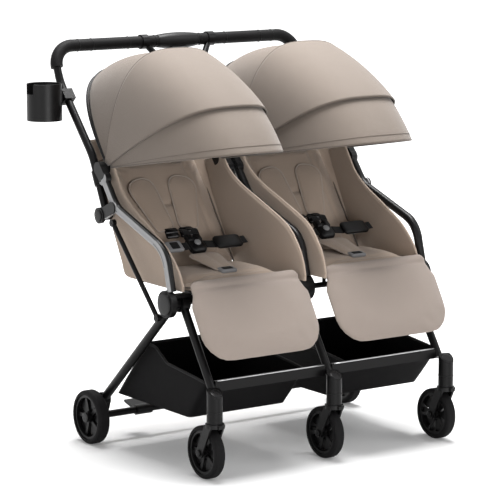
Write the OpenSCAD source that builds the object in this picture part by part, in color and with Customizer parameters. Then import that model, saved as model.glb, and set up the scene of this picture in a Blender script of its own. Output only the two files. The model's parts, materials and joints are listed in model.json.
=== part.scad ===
// Side by side double stroller with a folding frame.
// X runs to the right of someone facing the stroller, the seats face -Y, Z is up.
// The origin lies on the floor, midway between the front and the rear axle.

/* [Layout] */
// Distance between the front and the rear axle
wheelbase = 450; // [430:1:480]
// Half distance between the two middle seat tubes
middle_tube_x = 15; // [14:0.5:18]
// Position of the hub axis along Y
hub_y = -114; // [-120:1:-108]
// Height of the hub axis
hub_z = 406; // [400:1:412]

/* [Seat tubes] */
// Diameter of the curved seat tubes
seat_tube_d = 22; // [20:0.5:23]
// Distance of the seat tube's top end behind the hub
seat_tube_reach = 288; // [280:1:295]
// Height of the seat tube's top end above the hub
seat_tube_rise = 268; // [262:1:274]
// Bend radius of the seat tube's centre line
seat_tube_bend = 75; // [60:1:85]
// Distance from the seat tube's upper bend back to the handle hinge
hinge_arm_reach = 55; // [50:1:60]
// Drop from the seat tube's upper bend to the handle hinge
hinge_arm_drop = 25; // [20:1:30]
// Radius of the hinge plates
hinge_plate_r = 15; // [14:0.5:17]
// Thickness of the outer hinge plates
hinge_plate_t = 12; // [10:0.5:14]
// Radius of the round caps on the handle hinges
hinge_cap_r = 20; // [16:0.5:22]
// Radius of the handle hinge pins
hinge_pin_r = 5; // [4:0.25:6]

/* [Hubs] */
// Radius of the outer hub cheek
hub_r = 33; // [30:0.5:33.5]
// Radius of the inner hub cheek
hub_inner_r = 23; // [20:0.5:24]
// Radius of the hub pin that carries the rear leg
hub_pin_r = 6; // [5:0.25:7]

/* [Front legs and casters] */
// Distance of the front legs inboard of the caster stems
front_leg_inset = 7; // [6:0.5:8]
// Diameter of the front legs
front_leg_d = 20; // [18:0.5:20.5]
// Distance of the outer caster stems inboard of the outer seat tubes
caster_inset = 29; // [27:0.5:31]
// Trail of the casters from stem to axle
caster_trail = 36; // [34:0.5:38]
// Radius of the caster housings
housing_r = 19; // [18:0.25:20]
// Height of the housings' tops above the floor
housing_top = 222; // [218:1:228]
// Radius of the caster stems
stem_r = 6; // [5:0.25:7]
// Radius of the front wheels
front_wheel_r = 64; // [62:0.5:66]
// Width of the front wheels
front_wheel_w = 28; // [26:0.5:29]
// Thickness of the fork arms
fork_arm_t = 5; // [4:0.25:6]

/* [Rear frame] */
// Diameter of the rear legs
rear_leg_d = 22; // [20:0.5:22.5]
// Gap between the rear leg and the front leg, side by side
leg_gap = 2; // [1.5:0.25:2.5]
// Radius of the rear wheels
rear_wheel_r = 68; // [66:0.5:70]
// Width of the rear wheels
rear_wheel_w = 32; // [28:0.5:34]
// Radius of the wheel axles
axle_r = 6; // [5:0.25:7]
// Radius of the rear cross tube
rear_cross_r = 9; // [8:0.25:10]
// Length of the brake pedal's sleeve
brake_sleeve_l = 46; // [40:1:60]
// Reach of the brake pedal behind the cross tube
brake_reach = 52; // [46:1:60]
// Diameter of the fold struts
strut_d = 12; // [10:0.5:12.5]
// Distance of the strut pivot from the hub, along the rear leg
strut_seat = 60; // [58:0.5:64]

/* [Handle] */
// Diameter of the handle tubes
handle_d = 20; // [18:0.5:20.5]
// Inset of the handle tubes from the outer seat tubes
handle_inset = 7; // [6:0.5:8]
// Run of the handle's lower part
handle_low_run = 65; // [60:1:70]
// Rise of the handle's lower part
handle_low_rise = 139; // [132:1:146]
// Run of the handle's middle part
handle_mid_run = 154; // [146:1:162]
// Rise of the handle's middle part
handle_mid_rise = 171; // [164:1:178]
// Run of the handle's upper part
handle_top_run = 35; // [30:1:40]
// Rise of the handle's upper part
handle_top_rise = 87; // [80:1:94]
// Bend radius of the handle's corners
handle_corner = 55; // [50:1:60]
// Bend radius of the handle's upright tubes
handle_bend = 110; // [80:1:120]
// Radius of the grips
grip_r = 15.5; // [14:0.25:17]
// Half width of the fold housing
fold_housing_half = 48; // [44:1:54]
// Radius of the fold housing at its middle
fold_housing_r = 19; // [18:0.25:21]
// Travel of the fold button
fold_button_travel = 5; // [4:0.25:6]
// Half distance between the collars of the handle brace
brace_x = 102; // [90:1:110]
// Radius of the brace tubes and the middle post
brace_r = 8; // [7:0.25:8.5]

/* [Cup holder] */
// Inner radius of the cup holder
cup_r = 40; // [36:0.5:42]
// Wall of the cup holder
cup_wall = 4; // [3:0.25:5]
// Height of the cup holder
cup_h = 92; // [80:1:100]
// Gap between the cup holder and the handle tube
cup_gap = 10; // [8:0.5:14]

/* [Seats] */
// Width of the seat cushions
seat_w = 300; // [280:1:304]
// Gap between a cushion and the seat tube on each side
seat_gap = 21; // [18:0.5:29]
// Thickness of the seat cushions
seat_t = 30; // [24:0.5:34]
// Depth of the seat cushions
seat_depth = 214; // [205:1:216]
// Reach of a backrest past the cushion on each side
backrest_overhang = 2; // [0:0.5:4]
// Length of the backrests
backrest_l = 335; // [315:1:345]
// Thickness of the backrests
backrest_t = 30; // [24:0.5:32]
// Slope of the backrests above the floor, in degrees
backrest_slope = 54; // [52:0.5:56]
// Reach of a footrest past the cushion on each side
footrest_overhang = 13; // [5:0.5:14]
// Length of the footrests
footrest_l = 210; // [195:1:215]
// Thickness of the footrests
footrest_t = 22; // [18:0.5:24]
// Slope of the footrests below the horizontal, in degrees
footrest_slope = 59; // [57:0.5:62]
// Thickness of the fabric walls of seats, canopies and baskets
fabric_t = 2.5; // [2:0.1:2.8]
// Thickness of the seats' side panels
side_panel_t = 5; // [4:0.25:5.5]
// Radius of the seat frame's tubes
seat_rail_r = 7; // [6:0.25:8]

/* [Harness] */
// Length of the shoulder pads
shoulder_pad_l = 150; // [130:1:160]
// Width of a shoulder pad
shoulder_pad_w = 62; // [54:1:66]
// Thickness of a shoulder pad
shoulder_pad_t = 14; // [11:0.5:16]
// Width of the buckles
buckle_w = 46; // [42:1:52]
// Height of the buckles
buckle_h = 52; // [48:1:58]
// Thickness of the buckles
buckle_t = 18; // [16:0.5:20]
// Radius of the buckle buttons
buckle_button_r = 9; // [8:0.25:11]
// Travel of the buckle buttons
buckle_travel = 3; // [2:0.25:4]
// Width of the harness webbing
webbing_w = 25; // [20:1:30]
// Thickness of the harness webbing
webbing_t = 3; // [2:0.25:4]

/* [Canopies] */
// Radius of a canopy from its pivot to its crown
canopy_r = 300; // [290:1:305]
// Angle of the canopies' rear edge, from straight back
canopy_rear_angle = 50; // [49:0.5:54]
// Angle of the canopies' middle bow
canopy_mid_angle = 106; // [104:0.5:110]
// Angle of the seam between main panel and visor
canopy_seam_angle = 140; // [137:0.5:143]
// Angle of the visors' front edge
canopy_front_angle = 167; // [164:0.5:170]
// Radial step from one canopy panel to the next
canopy_step = 4; // [3.5:0.25:4.5]
// Radius of the canopy pivots
canopy_pivot_r = 14; // [12:0.5:15]

/* [Baskets] */
// Height of the baskets' floor above the ground
basket_floor = 134; // [130:1:140]
// Distance of a basket's side inside the cushion's side
basket_inset = 15; // [14:0.5:25]
// Height of the flat front bars
front_bar_h = 26; // [20:0.5:28]
// Thickness of the flat front bars
front_bar_t = 8; // [6:0.5:9]

/* [Hidden] */
$fn = 48;
// Clearance between a running pin and its bore
running = 0.05;
// Clearance between pieces that sit side by side
clear = 0.3;
// Clearance of a tube in its socket
socket_clear = 0.1;
// Overrun of a cut past the face that it opens
overrun = 1;

function heading(a, b) = (b - a) / norm(b - a);
function bearing(a) = [cos(a), sin(a)];
function slope_of(d) = atan2(d[1], d[0]);
function bend_turn(a, b, c) = acos(heading(a, b) * heading(b, c));
function bend_setback(a, b, c, r) = r * tan(bend_turn(a, b, c) / 2);
function between(a, b, share) = a + (b - a) * share;
function signed_power(v, n) = sign(v) * pow(abs(v), n);

// Places in the side view, as [y, z]
hub = [hub_y, hub_z];
seat_tube_size = [seat_tube_reach, seat_tube_rise];
seat_tube_upper_share = [0.82, 0.754];
seat_tube_lower_share = [0.055, 0.466];
seat_tube_end_share = [-0.035, 0.112];
bend_lap = 1.5;
bend_swell = 0.3;
function on_seat_tube(share) = hub + [seat_tube_size[0] * share[0], seat_tube_size[1] * share[1]];
seat_tube_top = on_seat_tube([1, 1]);
seat_tube_upper = on_seat_tube(seat_tube_upper_share);
seat_tube_lower = on_seat_tube(seat_tube_lower_share);
seat_tube_end = on_seat_tube(seat_tube_end_share);
seat_tube_path = [seat_tube_top, seat_tube_upper, seat_tube_lower, seat_tube_end];
seat_tube_r = seat_tube_d / 2;
handle_pivot = seat_tube_upper + [hinge_arm_reach, -hinge_arm_drop];
handle_lower_bend = handle_pivot + [handle_low_run, handle_low_rise];
handle_upper_bend = handle_lower_bend + [handle_mid_run, handle_mid_rise];
handle_bar = handle_upper_bend + [handle_top_run, handle_top_rise];
handle_tilt = slope_of(handle_bar - handle_upper_bend);
handle_r = handle_d / 2;
canopy_mount_r = canopy_pivot_r + fabric_t;
canopy_offset_share = 1.9;
canopy_offset_angle = 46;
canopy_pivot = seat_tube_top + canopy_mount_r * canopy_offset_share * bearing(canopy_offset_angle);
plate_share = 0.8;

// Places across, as X on the left side
outer_tube_x = middle_tube_x + seat_tube_d + seat_w + 2 * seat_gap;
caster_x = outer_tube_x - caster_inset;
backrest_w = seat_w + 2 * backrest_overhang;
footrest_w = seat_w + 2 * footrest_overhang;
basket_half = seat_w / 2 - basket_inset;
handle_x = outer_tube_x - handle_inset;
front_leg_r = front_leg_d / 2;
front_leg_x = caster_x - front_leg_inset;
rear_leg_r = rear_leg_d / 2;
rear_leg_x = front_leg_x + front_leg_r + leg_gap + rear_leg_r;
rear_wheel_x = rear_leg_x + rear_leg_r + leg_gap + rear_wheel_w / 2;
strut_r = strut_d / 2;
strut_x = rear_leg_x + rear_leg_r + leg_gap + strut_r;
seat_outer_x = outer_tube_x - seat_tube_r;
seat_inner_x = middle_tube_x + seat_tube_r;
seat_x = (seat_outer_x + seat_inner_x) / 2;
seat_half = (seat_outer_x - seat_inner_x) / 2;
outer_panel_x = handle_x - handle_r - 2 * clear;
inner_panel_x = seat_inner_x + 2 * clear;
canopy_half = seat_half - clear;

// Axles and casters
front_axle = [-wheelbase / 2, front_wheel_r];
rear_axle_at = [wheelbase / 2, rear_wheel_r];
caster_y = front_axle[0] - caster_trail;
fork_gap = 2;
fork_crown_z = 2 * front_wheel_r + fork_gap;
fork_crown_h = 10;
housing_bottom = fork_crown_z + fork_crown_h + clear;

// Hub cheeks: the rear leg turns between them
hub_slot_out = rear_leg_x + rear_leg_r + clear;
hub_slot_in = rear_leg_x - rear_leg_r - clear;
hub_cheek_t = 15;
hub_outer = hub_slot_out + hub_cheek_t;
hub_inner = front_leg_x - front_leg_r;
hub_head_r = 15;
lug_share = 0.9;
rear_lug = rear_leg_r * lug_share;

// Legs
front_leg_top_share = 0.55;
front_leg_foot = [caster_y + housing_r, housing_top - housing_r / 2];
front_leg_top = hub + heading(hub, front_leg_foot) * hub_inner_r * front_leg_top_share;
rear_bracket_rise = 46;
rear_bracket_lead = 16;
rear_bracket_r = 17;
rear_leg_foot = rear_axle_at + [-rear_bracket_lead, rear_bracket_rise];
rear_leg_way = heading(hub, rear_leg_foot);
strut_foot = hub + rear_leg_way * strut_seat;
strut_head_share = 0.55;
strut_head = between(seat_tube_upper, handle_pivot, strut_head_share);
strut_eye_r = 9;
strut_short_share = 1.42;
strut_head_short = (hinge_plate_r + strut_eye_r) * strut_short_share;
strut_pin_r = 4;

// Seats: the backrest and the footrest turn on the rails of the seat frame
seat_lead = 32;
seat_rise = 5;
seat_front = hub_y - seat_lead;
seat_base_z = hub_z + hub_inner_r + seat_rise;
seat_back = seat_front + seat_depth;
rail_place_share = 0.8;
rail_r_share = 0.85;
post_r_share = 0.7;
rail_r = seat_rail_r * rail_r_share;
post_r = seat_rail_r * post_r_share;
seat_rail_z = seat_base_z - rail_r - clear;
rail_seat = seat_rail_r + clear;
backrest_hinge = [seat_back + clear + (rail_seat + backrest_t) * sin(backrest_slope), seat_rail_z];
footrest_rise_share = 0.4;
footrest_hinge = [seat_front - rail_seat, seat_base_z + seat_t * footrest_rise_share];

frame_colour = [0.10, 0.10, 0.11];
satin_colour = [0.16, 0.16, 0.17];
plastic_colour = [0.06, 0.06, 0.065];
rubber_colour = [0.05, 0.05, 0.05];
fabric_colour = [0.53, 0.47, 0.42];
pad_colour = [0.60, 0.54, 0.49];
basket_colour = [0.04, 0.04, 0.04];
button_colour = [0.45, 0.45, 0.46];

// Draws in the side view: drawn x becomes Y, drawn y becomes Z, drawn z becomes X
module side_view(x) {
    translate([x, 0, 0]) rotate([90, 0, 90]) children();
}

// Draws in the plane of the handle's upper part: drawn x stays X, drawn y runs up the tube
module handle_plane() {
    translate([0, handle_bar[0], handle_bar[1]]) rotate([handle_tilt, 0, 0]) children();
}

// Repeats a left piece on the right
module right_side() {
    mirror([1, 0, 0]) children();
}

// A round bar between two points of the drawing plane
module bar(a, b, r) {
    translate([a[0], a[1], 0])
        rotate([0, 0, slope_of(b - a)]) rotate([0, 90, 0]) cylinder(h = norm(b - a), r = r);
}

// One bend of a tube whose straight parts meet at b
module tube_bend(a, b, c, bend_r, r) {
    turn = bend_turn(a, b, c);
    side = sign(cross(heading(a, b), heading(b, c)));
    start = b - heading(a, b) * bend_setback(a, b, c, bend_r);
    centre = start + side * bend_r * [-heading(a, b)[1], heading(a, b)[0]];
    from = slope_of(start - centre);
    translate([centre[0], centre[1], 0])
        rotate([0, 0, side > 0 ? from : from - turn])
            rotate_extrude(angle = turn) translate([bend_r, 0]) circle(r + bend_swell);
}

// A tube along straight parts that lap a little into the bends between them
module bent_tube(path, bend_r, r) {
    last = len(path) - 1;
    for (i = [0 : last - 1]) {
        way = heading(path[i], path[i + 1]);
        back = i == 0 ? 0 : bend_setback(path[i - 1], path[i], path[i + 1], bend_r);
        ahead = i == last - 1 ? 0 : bend_setback(path[i], path[i + 1], path[i + 2], bend_r);
        bar(path[i] + way * max(0, back - bend_lap), path[i + 1] - way * max(0, ahead - bend_lap), r);
    }
    for (i = [1 : last - 1]) tube_bend(path[i - 1], path[i], path[i + 1], bend_r, r);
}

// A flat link with two round ends and a slightly narrower waist
link_waist_share = 0.94;
module link_outline(a, b, r) {
    waist = r * link_waist_share;
    translate(a) circle(r);
    translate(b) circle(r);
    translate(a) rotate(slope_of(b - a)) translate([0, -waist]) square([norm(b - a), 2 * waist]);
}

// A straight pin or boss along X, from one X to another, in the side view
module cross_pin(at, r, from, to) {
    translate([at[0], at[1], from]) cylinder(h = to - from, r = r);
}

// A sewn pad: crowned top, thin drawn-in edge, round corners and sewn channels.
// x runs across, y along, z up from a flat underside.
pad_cols = 14;
pad_rows = 16;
pad_edge_share = 0.3;
pad_corner_share = 0.06;
channel_depth_share = 0.3;
channel_width_share = 0.07;
function pad_round(s) = 1 - pad_corner_share * pow(abs(s), 6);
function pad_swell(s) = 1 - pow(abs(s), 4);
function pad_channel(s, at) = channel_depth_share * exp(-pow((s - at) / channel_width_share, 2));
function channel_sum(s, list, i = 0) = i == len(list) ? 0 : pad_channel(s, list[i]) + channel_sum(s, list, i + 1);
function pad_height(u, v, rows, cols) =
    (pad_edge_share + (1 - pad_edge_share) * sqrt(pad_swell(u) * pad_swell(v)))
    * (1 - pad_swell(u) * channel_sum(v, rows)) * (1 - pad_swell(v) * channel_sum(u, cols));

module pad(w, l, t, row_channels = [], col_channels = [], nx = pad_cols, ny = pad_rows, taper = 0) {
    function across(i) = -1 + 2 * i / nx;
    function along(j) = -1 + 2 * j / ny;
    function place(i, j) = [
        w / 2 * across(i) * pad_round(along(j)) * (1 - taper * (1 - along(j)) / 2),
        l / 2 * (1 + along(j) * pad_round(across(i)))
    ];
    function spot(i, j) = j * (nx + 1) + i;
    top = [for (j = [0 : ny]) for (i = [0 : nx])
        [each place(i, j), t * pad_height(across(i), along(j), row_channels, col_channels)]];
    ring = concat(
        [for (i = [0 : nx - 1]) [i, 0]], [for (j = [0 : ny - 1]) [nx, j]],
        [for (i = [nx : -1 : 1]) [i, ny]], [for (j = [ny : -1 : 1]) [0, j]]
    );
    count = len(ring);
    first = len(top);
    under = [for (p = ring) [each place(p[0], p[1]), 0]];
    middle = first + count;
    top_faces = [for (j = [0 : ny - 1]) for (i = [0 : nx - 1]) each [
        [spot(i, j), spot(i, j + 1), spot(i + 1, j + 1)],
        [spot(i, j), spot(i + 1, j + 1), spot(i + 1, j)]
    ]];
    side_faces = [for (k = [0 : count - 1]) let (
        n = (k + 1) % count,
        a = spot(ring[k][0], ring[k][1]),
        b = spot(ring[n][0], ring[n][1])
    ) each [[a, b, first + n], [a, first + n, first + k]]];
    under_faces = [for (k = [0 : count - 1]) [first + k, first + (k + 1) % count, middle]];
    polyhedron(concat(top, under, [[0, l / 2, 0]]), concat(top_faces, side_faces, under_faces));
}

// Curved tube at one side of a seat, drawn about its own plane
module seat_tube() {
    bent_tube(seat_tube_path, seat_tube_bend, seat_tube_r);
}

// Plate at the tube's top end, with the pivot that the canopy turns on
module canopy_mount(pivot_l) {
    linear_extrude(seat_tube_d * plate_share, center = true)
        link_outline(seat_tube_top, canopy_pivot, canopy_mount_r);
    cross_pin(canopy_pivot, canopy_pivot_r, 0, seat_tube_r + pivot_l + fabric_t / 2);
    cross_pin(canopy_pivot, canopy_mount_r, seat_tube_r + pivot_l, seat_tube_r + pivot_l + fabric_t);
}

canopy_pivot_l = 2 * canopy_step + fabric_t + 3 * clear;
hinge_plate_in = handle_r + handle_inset + clear;

module left_outer_tube() {
    hinge_in = handle_r - handle_inset + clear;
    color(satin_colour) side_view(-outer_tube_x) {
        seat_tube();
        canopy_mount(canopy_pivot_l);
        translate([0, 0, -hinge_in - hinge_plate_t])
            linear_extrude(hinge_plate_t) link_outline(seat_tube_upper, handle_pivot, hinge_plate_r);
        cross_pin(handle_pivot, hinge_cap_r, -hinge_in - hinge_plate_t - fabric_t, -hinge_in - hinge_plate_t / 2);
        cross_pin(handle_pivot, hinge_pin_r, -hinge_in - hinge_plate_t / 2, hinge_plate_in);
    }
}

module right_outer_tube() {
    right_side() left_outer_tube();
}

post_boss_half = brace_r + clear;
middle_plate_t = 5;
module middle_half() {
    side_view(middle_tube_x) {
        seat_tube();
        canopy_mount(canopy_pivot_l);
    }
    side_view(post_boss_half + clear)
        linear_extrude(middle_plate_t) link_outline(seat_tube_upper, handle_pivot, hinge_plate_r);
}

module middle_tubes() {
    color(satin_colour) {
        middle_half();
        right_side() middle_half();
        side_view(0) cross_pin(handle_pivot, hinge_pin_r, -post_boss_half - middle_plate_t, post_boss_half + middle_plate_t);
    }
}

// Clevis at a hub: two cheeks and a web, with sockets for the seat tube and the front leg
module side_hub() {
    difference() {
        side_view(0) {
            cross_pin(hub, hub_r, -hub_outer, -hub_slot_out);
            cross_pin(hub, hub_inner_r, -hub_slot_in, -hub_inner);
            cross_pin(hub, hub_pin_r, -hub_slot_out - hub_cheek_t / 2, -hub_slot_in + hub_pin_r);
            translate([0, 0, -hub_outer]) linear_extrude(hub_outer - hub_inner)
                translate(hub + [-hub_inner_r, hub_head_r + 2 * clear])
                    square([hub_inner_r, hub_inner_r - hub_head_r]);
        }
        side_view(-outer_tube_x) bar(seat_tube_lower, seat_tube_end, seat_tube_r + socket_clear);
        side_view(-front_leg_x) bar(front_leg_top, front_leg_foot, front_leg_r + socket_clear);
    }
}

module middle_hub() {
    half = middle_tube_x + seat_tube_r;
    difference() {
        side_view(0) cross_pin(hub, hub_r, -half, half);
        for (s = [-1, 1]) side_view(s * middle_tube_x)
            bar(seat_tube_lower, seat_tube_end, seat_tube_r + socket_clear);
        side_view(0) bar(front_leg_top, front_leg_foot, front_leg_r + socket_clear);
    }
}

module hubs() {
    color(plastic_colour) {
        side_hub();
        right_side() side_hub();
        middle_hub();
    }
}

// Caster housing with a slanted top that faces forward
cap_slope = 35;
module housing(stem_x) {
    difference() {
        translate([stem_x, caster_y, housing_bottom]) cylinder(h = housing_top - housing_bottom, r = housing_r);
        translate([stem_x, caster_y - housing_r, housing_top - housing_r]) rotate([cap_slope, 0, 0])
            translate([-2 * housing_r, -2 * housing_r, 0]) cube(4 * housing_r);
    }
}

// A front leg with the caster housing at its foot
module front_leg(leg_x, stem_x) {
    stem_l = housing_top - housing_bottom - housing_r;
    color(frame_colour) difference() {
        union() {
            side_view(leg_x) bar(front_leg_top, front_leg_foot, front_leg_r);
            housing(stem_x);
        }
        translate([stem_x, caster_y, housing_bottom - overrun]) cylinder(h = stem_l + overrun, r = stem_r + running);
    }
}

module left_front_leg() {
    front_leg(-front_leg_x, -caster_x);
}

module middle_front_leg() {
    front_leg(0, 0);
}

module right_front_leg() {
    front_leg(front_leg_x, caster_x);
}

// Flat bars between the legs, just above the legs' feet
front_bar_share = 0.05;
front_bar_at = between(front_leg_foot, hub, front_bar_share);
module front_bars() {
    span = front_leg_x - 2 * (front_leg_r + clear);
    color(frame_colour) for (s = [-1, 1])
        translate([s * front_leg_x / 2, front_bar_at[0], front_bar_at[1]])
            cube([span, front_bar_t, front_bar_h], center = true);
}

// Tubes that carry both seats: one across through the hubs, two rails and two cross rails a seat
module seat_frame() {
    rail_x = seat_w / 2 * rail_place_share;
    cross_l = 2 * (rail_x + seat_rail_r);
    cross_from = seat_inner_x + clear;
    rail_nose = [footrest_hinge[0] - rail_r, seat_rail_z];
    color(frame_colour) for (s = [-1, 1]) {
        side_view(s * (hub_inner + cross_from) / 2)
            cross_pin(hub, seat_rail_r, (cross_from - hub_inner) / 2, (hub_inner - cross_from) / 2);
        side_view(s * seat_x) {
            for (t = [-1, 1]) translate([0, 0, t * rail_x]) {
                bar(rail_nose, backrest_hinge, rail_r);
                bar(hub, [hub_y, seat_rail_z], post_r);
                bar([footrest_hinge[0], seat_rail_z], footrest_hinge, post_r);
            }
            cross_pin(backrest_hinge, seat_rail_r, -cross_l / 2, cross_l / 2);
            cross_pin(footrest_hinge, seat_rail_r, -cross_l / 2, cross_l / 2);
        }
    }
}

seat_channel_shares = [-0.62];
module seat_cushion(x) {
    color(fabric_colour) translate([x, seat_front, seat_base_z])
        pad(seat_w, seat_depth, seat_t, row_channels = seat_channel_shares);
}

module left_seat() {
    seat_cushion(-seat_x);
}

module right_seat() {
    seat_cushion(seat_x);
}

// Fabric wings beside a seat: the upper edge follows the seat tube outside and stands above it between the seats
outer_panel_shares = [[0.92, 1.01], [0.83, 0.87], [0.67, 0.75], [0.42, 0.61], [0.16, 0.46], [0, 0.29], [-0.08, 0.16]];
inner_panel_shares = [
    [0.97, 1.05], [0.88, 0.98], [0.69, 0.87], [0.35, 0.74], [0.02, 0.58], [-0.13, 0.42], [-0.2, 0.28], [-0.23, 0.16]
];
panel_back_share = 0.49;
module side_panel(shares) {
    upper = [for (s = shares) on_seat_tube(s)];
    front_foot = [upper[len(upper) - 1][0], seat_base_z];
    back_foot = [backrest_hinge[0], seat_base_z];
    back_top = backrest_hinge + bearing(backrest_slope) * backrest_l * panel_back_share;
    linear_extrude(side_panel_t) polygon(concat([back_top], upper, [front_foot, back_foot]));
}

module left_side_panels() {
    color(fabric_colour) {
        side_view(-outer_panel_x) side_panel(outer_panel_shares);
        side_view(-inner_panel_x - side_panel_t) side_panel(inner_panel_shares);
    }
}

module right_side_panels() {
    right_side() left_side_panels();
}

// Shopping basket: a fabric tray between the legs, open at the top
basket_front = front_bar_at[0] + front_bar_t / 2 + clear;
basket_length = rear_axle_at[0] - rear_bracket_r - basket_front;
basket_height = 160;
basket_shares = [[0, 0.60], [0.12, 0.64], [0.40, 0.72], [0.55, 1], [0.94, 0.10], [0.91, 0], [0.19, 0]];
module basket_outline() {
    polygon([for (s = basket_shares) [basket_front + s[0] * basket_length, basket_floor + s[1] * basket_height]]);
}

basket_inner_shares = [[0.01, 0.7], [0.40, 1.2], [0.60, 1.2], [0.74, 0.46], [0.90, 0.02], [0.197, 0.02]];
module basket(x) {
    color(basket_colour) side_view(x) difference() {
        linear_extrude(2 * basket_half, center = true) basket_outline();
        linear_extrude(2 * (basket_half - fabric_t), center = true)
            polygon([for (s = basket_inner_shares)
                [basket_front + s[0] * basket_length, basket_floor + s[1] * basket_height]]);
    }
}

module left_basket() {
    basket(-seat_x);
}

module right_basket() {
    basket(seat_x);
}

// Canopy panels: a bow's outline turned about the canopy pivot
bow_power = 3.4;
bow_steps = 12;
function bow_start(half, r) = asin(pow((canopy_pivot_r + clear) / r, bow_power / 2));
function bow_point(half, r, angle) =
    [r * pow(sin(angle), 2 / bow_power), half * signed_power(cos(angle), 2 / bow_power)];
function bow_line(half, r) = let (a = bow_start(half, r))
    [for (i = [0 : bow_steps]) bow_point(half, r, a + (180 - 2 * a) * i / bow_steps)];

module canopy_panel(x, layer, from, to) {
    half = canopy_half - layer * canopy_step;
    r = canopy_r - layer * canopy_step;
    outer = bow_line(half, r);
    inner = bow_line(half - fabric_t, r - fabric_t);
    color(fabric_colour) side_view(x) translate(canopy_pivot) rotate(from)
        rotate_extrude(angle = to - from)
            polygon(concat(outer, [for (i = [bow_steps : -1 : 0]) inner[i]]));
}

panel_lap = 3;
curtain_lead = 4;
// The rear panel ends in a flat curtain that closes the canopy towards the handle
module canopy_rear(x) {
    half = canopy_half - 2 * canopy_step - fabric_t / 2;
    r = canopy_r - 2 * canopy_step - fabric_t / 2;
    canopy_panel(x, 2, canopy_rear_angle, canopy_mid_angle + panel_lap);
    color(fabric_colour) side_view(x) translate(canopy_pivot) rotate(canopy_rear_angle)
        difference() {
            translate([0, curtain_lead, 0]) rotate([90, 0, 0])
                linear_extrude(fabric_t, center = true) polygon(bow_line(half, r));
            cylinder(h = 2 * canopy_half, r = canopy_mount_r + clear, center = true);
        }
}

module canopy_main(x) {
    canopy_panel(x, 0, canopy_mid_angle - panel_lap, canopy_seam_angle);
}

module canopy_visor(x) {
    canopy_panel(x, 1, canopy_seam_angle - panel_lap, canopy_front_angle);
}

module left_canopy_rear() {
    canopy_rear(-seat_x);
}

module right_canopy_rear() {
    canopy_rear(seat_x);
}

module left_canopy_main() {
    canopy_main(-seat_x);
}

module right_canopy_main() {
    canopy_main(seat_x);
}

module left_canopy_visor() {
    canopy_visor(-seat_x);
}

module right_canopy_visor() {
    canopy_visor(seat_x);
}

// Draws on a backrest: x across, y up the backrest, z out of its front
module on_backrest(x) {
    translate([x, backrest_hinge[0], backrest_hinge[1]]) rotate([backrest_slope, 0, 0])
        translate([0, 0, rail_seat]) children();
}

back_row_shares = [0.1];
back_column_shares = [-0.62, 0.62];
back_taper_share = 0.04;
module backrest(x) {
    color(fabric_colour) on_backrest(x) pad(
        backrest_w, backrest_l, backrest_t,
        row_channels = back_row_shares, col_channels = back_column_shares, taper = back_taper_share
    );
}

module left_backrest() {
    backrest(-seat_x);
}

module right_backrest() {
    backrest(seat_x);
}

// Two shoulder pads that lie on a backrest and spread towards the top
pad_spread = 9;
pad_foot_share = 0.32;
pad_shift_share = 0.12;
pad_taper_share = 0.25;
module shoulder_pads(x) {
    color(pad_colour) on_backrest(x) for (s = [-1, 1])
        translate([s * (shoulder_pad_w / 2 + clear), backrest_l * pad_foot_share, backrest_t + clear])
            rotate([0, 0, -s * pad_spread])
                translate([s * shoulder_pad_w * pad_shift_share, 0, 0])
                    pad(shoulder_pad_w, shoulder_pad_l, shoulder_pad_t, nx = 8, ny = 12, taper = pad_taper_share);
}

module left_shoulder_pads() {
    shoulder_pads(-seat_x);
}

module right_shoulder_pads() {
    shoulder_pads(seat_x);
}

// Buckle on the crotch strap, with the waist straps beside it
crotch_foot_share = 0.34;
crotch_foot = [seat_front + seat_depth * crotch_foot_share, seat_base_z + seat_t + clear];
crotch_l = 100;
crotch_w = 58;
crotch_t = 10;
crotch_slope = 12;
buckle_lean = 36;
button_seat_share = 0.25;
crotch_end = crotch_foot + bearing(crotch_slope) * crotch_l;
buckle_lead = crotch_t * sin(buckle_lean - crotch_slope) + clear;

module on_buckle(x) {
    translate([x, crotch_end[0], crotch_end[1]]) rotate([buckle_lean, 0, 0])
        translate([0, buckle_lead, 0]) children();
}

module harness_straps(x) {
    strap_l = seat_w / 2 - buckle_w / 2;
    color(plastic_colour) {
        side_view(x) translate(crotch_foot) rotate(crotch_slope)
            translate([0, 0, -crotch_w / 2]) linear_extrude(crotch_w) square([crotch_l, crotch_t]);
        on_buckle(x) for (s = [-1, 1])
            translate([s * (buckle_w / 2 + strap_l / 2), buckle_h / 2, buckle_t / 2])
                cube([strap_l - 2 * clear, webbing_w, webbing_t], center = true);
    }
}

module left_harness_straps() {
    harness_straps(-seat_x);
}

module right_harness_straps() {
    harness_straps(seat_x);
}

module buckle(x) {
    color(plastic_colour) on_buckle(x) difference() {
        translate([-buckle_w / 2, 0, 0]) cube([buckle_w, buckle_h, buckle_t]);
        translate([0, buckle_h / 2, buckle_t * button_seat_share]) cylinder(h = buckle_t, r = buckle_button_r + clear);
    }
}

module left_buckle() {
    buckle(-seat_x);
}

module right_buckle() {
    buckle(seat_x);
}

module buckle_button(x) {
    color(button_colour) on_buckle(x)
        translate([0, buckle_h / 2, buckle_t * button_seat_share + buckle_travel + clear])
            cylinder(h = buckle_t * (1 - button_seat_share), r = buckle_button_r);
}

module left_buckle_button() {
    buckle_button(-seat_x);
}

module right_buckle_button() {
    buckle_button(seat_x);
}

// Padded footrest that hangs from the front of a seat
footrest_above_share = 0.06;
footrest_channel_shares = [-0.72];
module footrest(x) {
    color(pad_colour) translate([x, footrest_hinge[0], footrest_hinge[1]]) rotate([180 + footrest_slope, 0, 0])
        translate([0, -footrest_l * footrest_above_share, -rail_seat]) mirror([0, 0, 1])
            pad(footrest_w, footrest_l, footrest_t, row_channels = footrest_channel_shares);
}

module left_footrest() {
    footrest(-seat_x);
}

module right_footrest() {
    footrest(seat_x);
}

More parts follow.
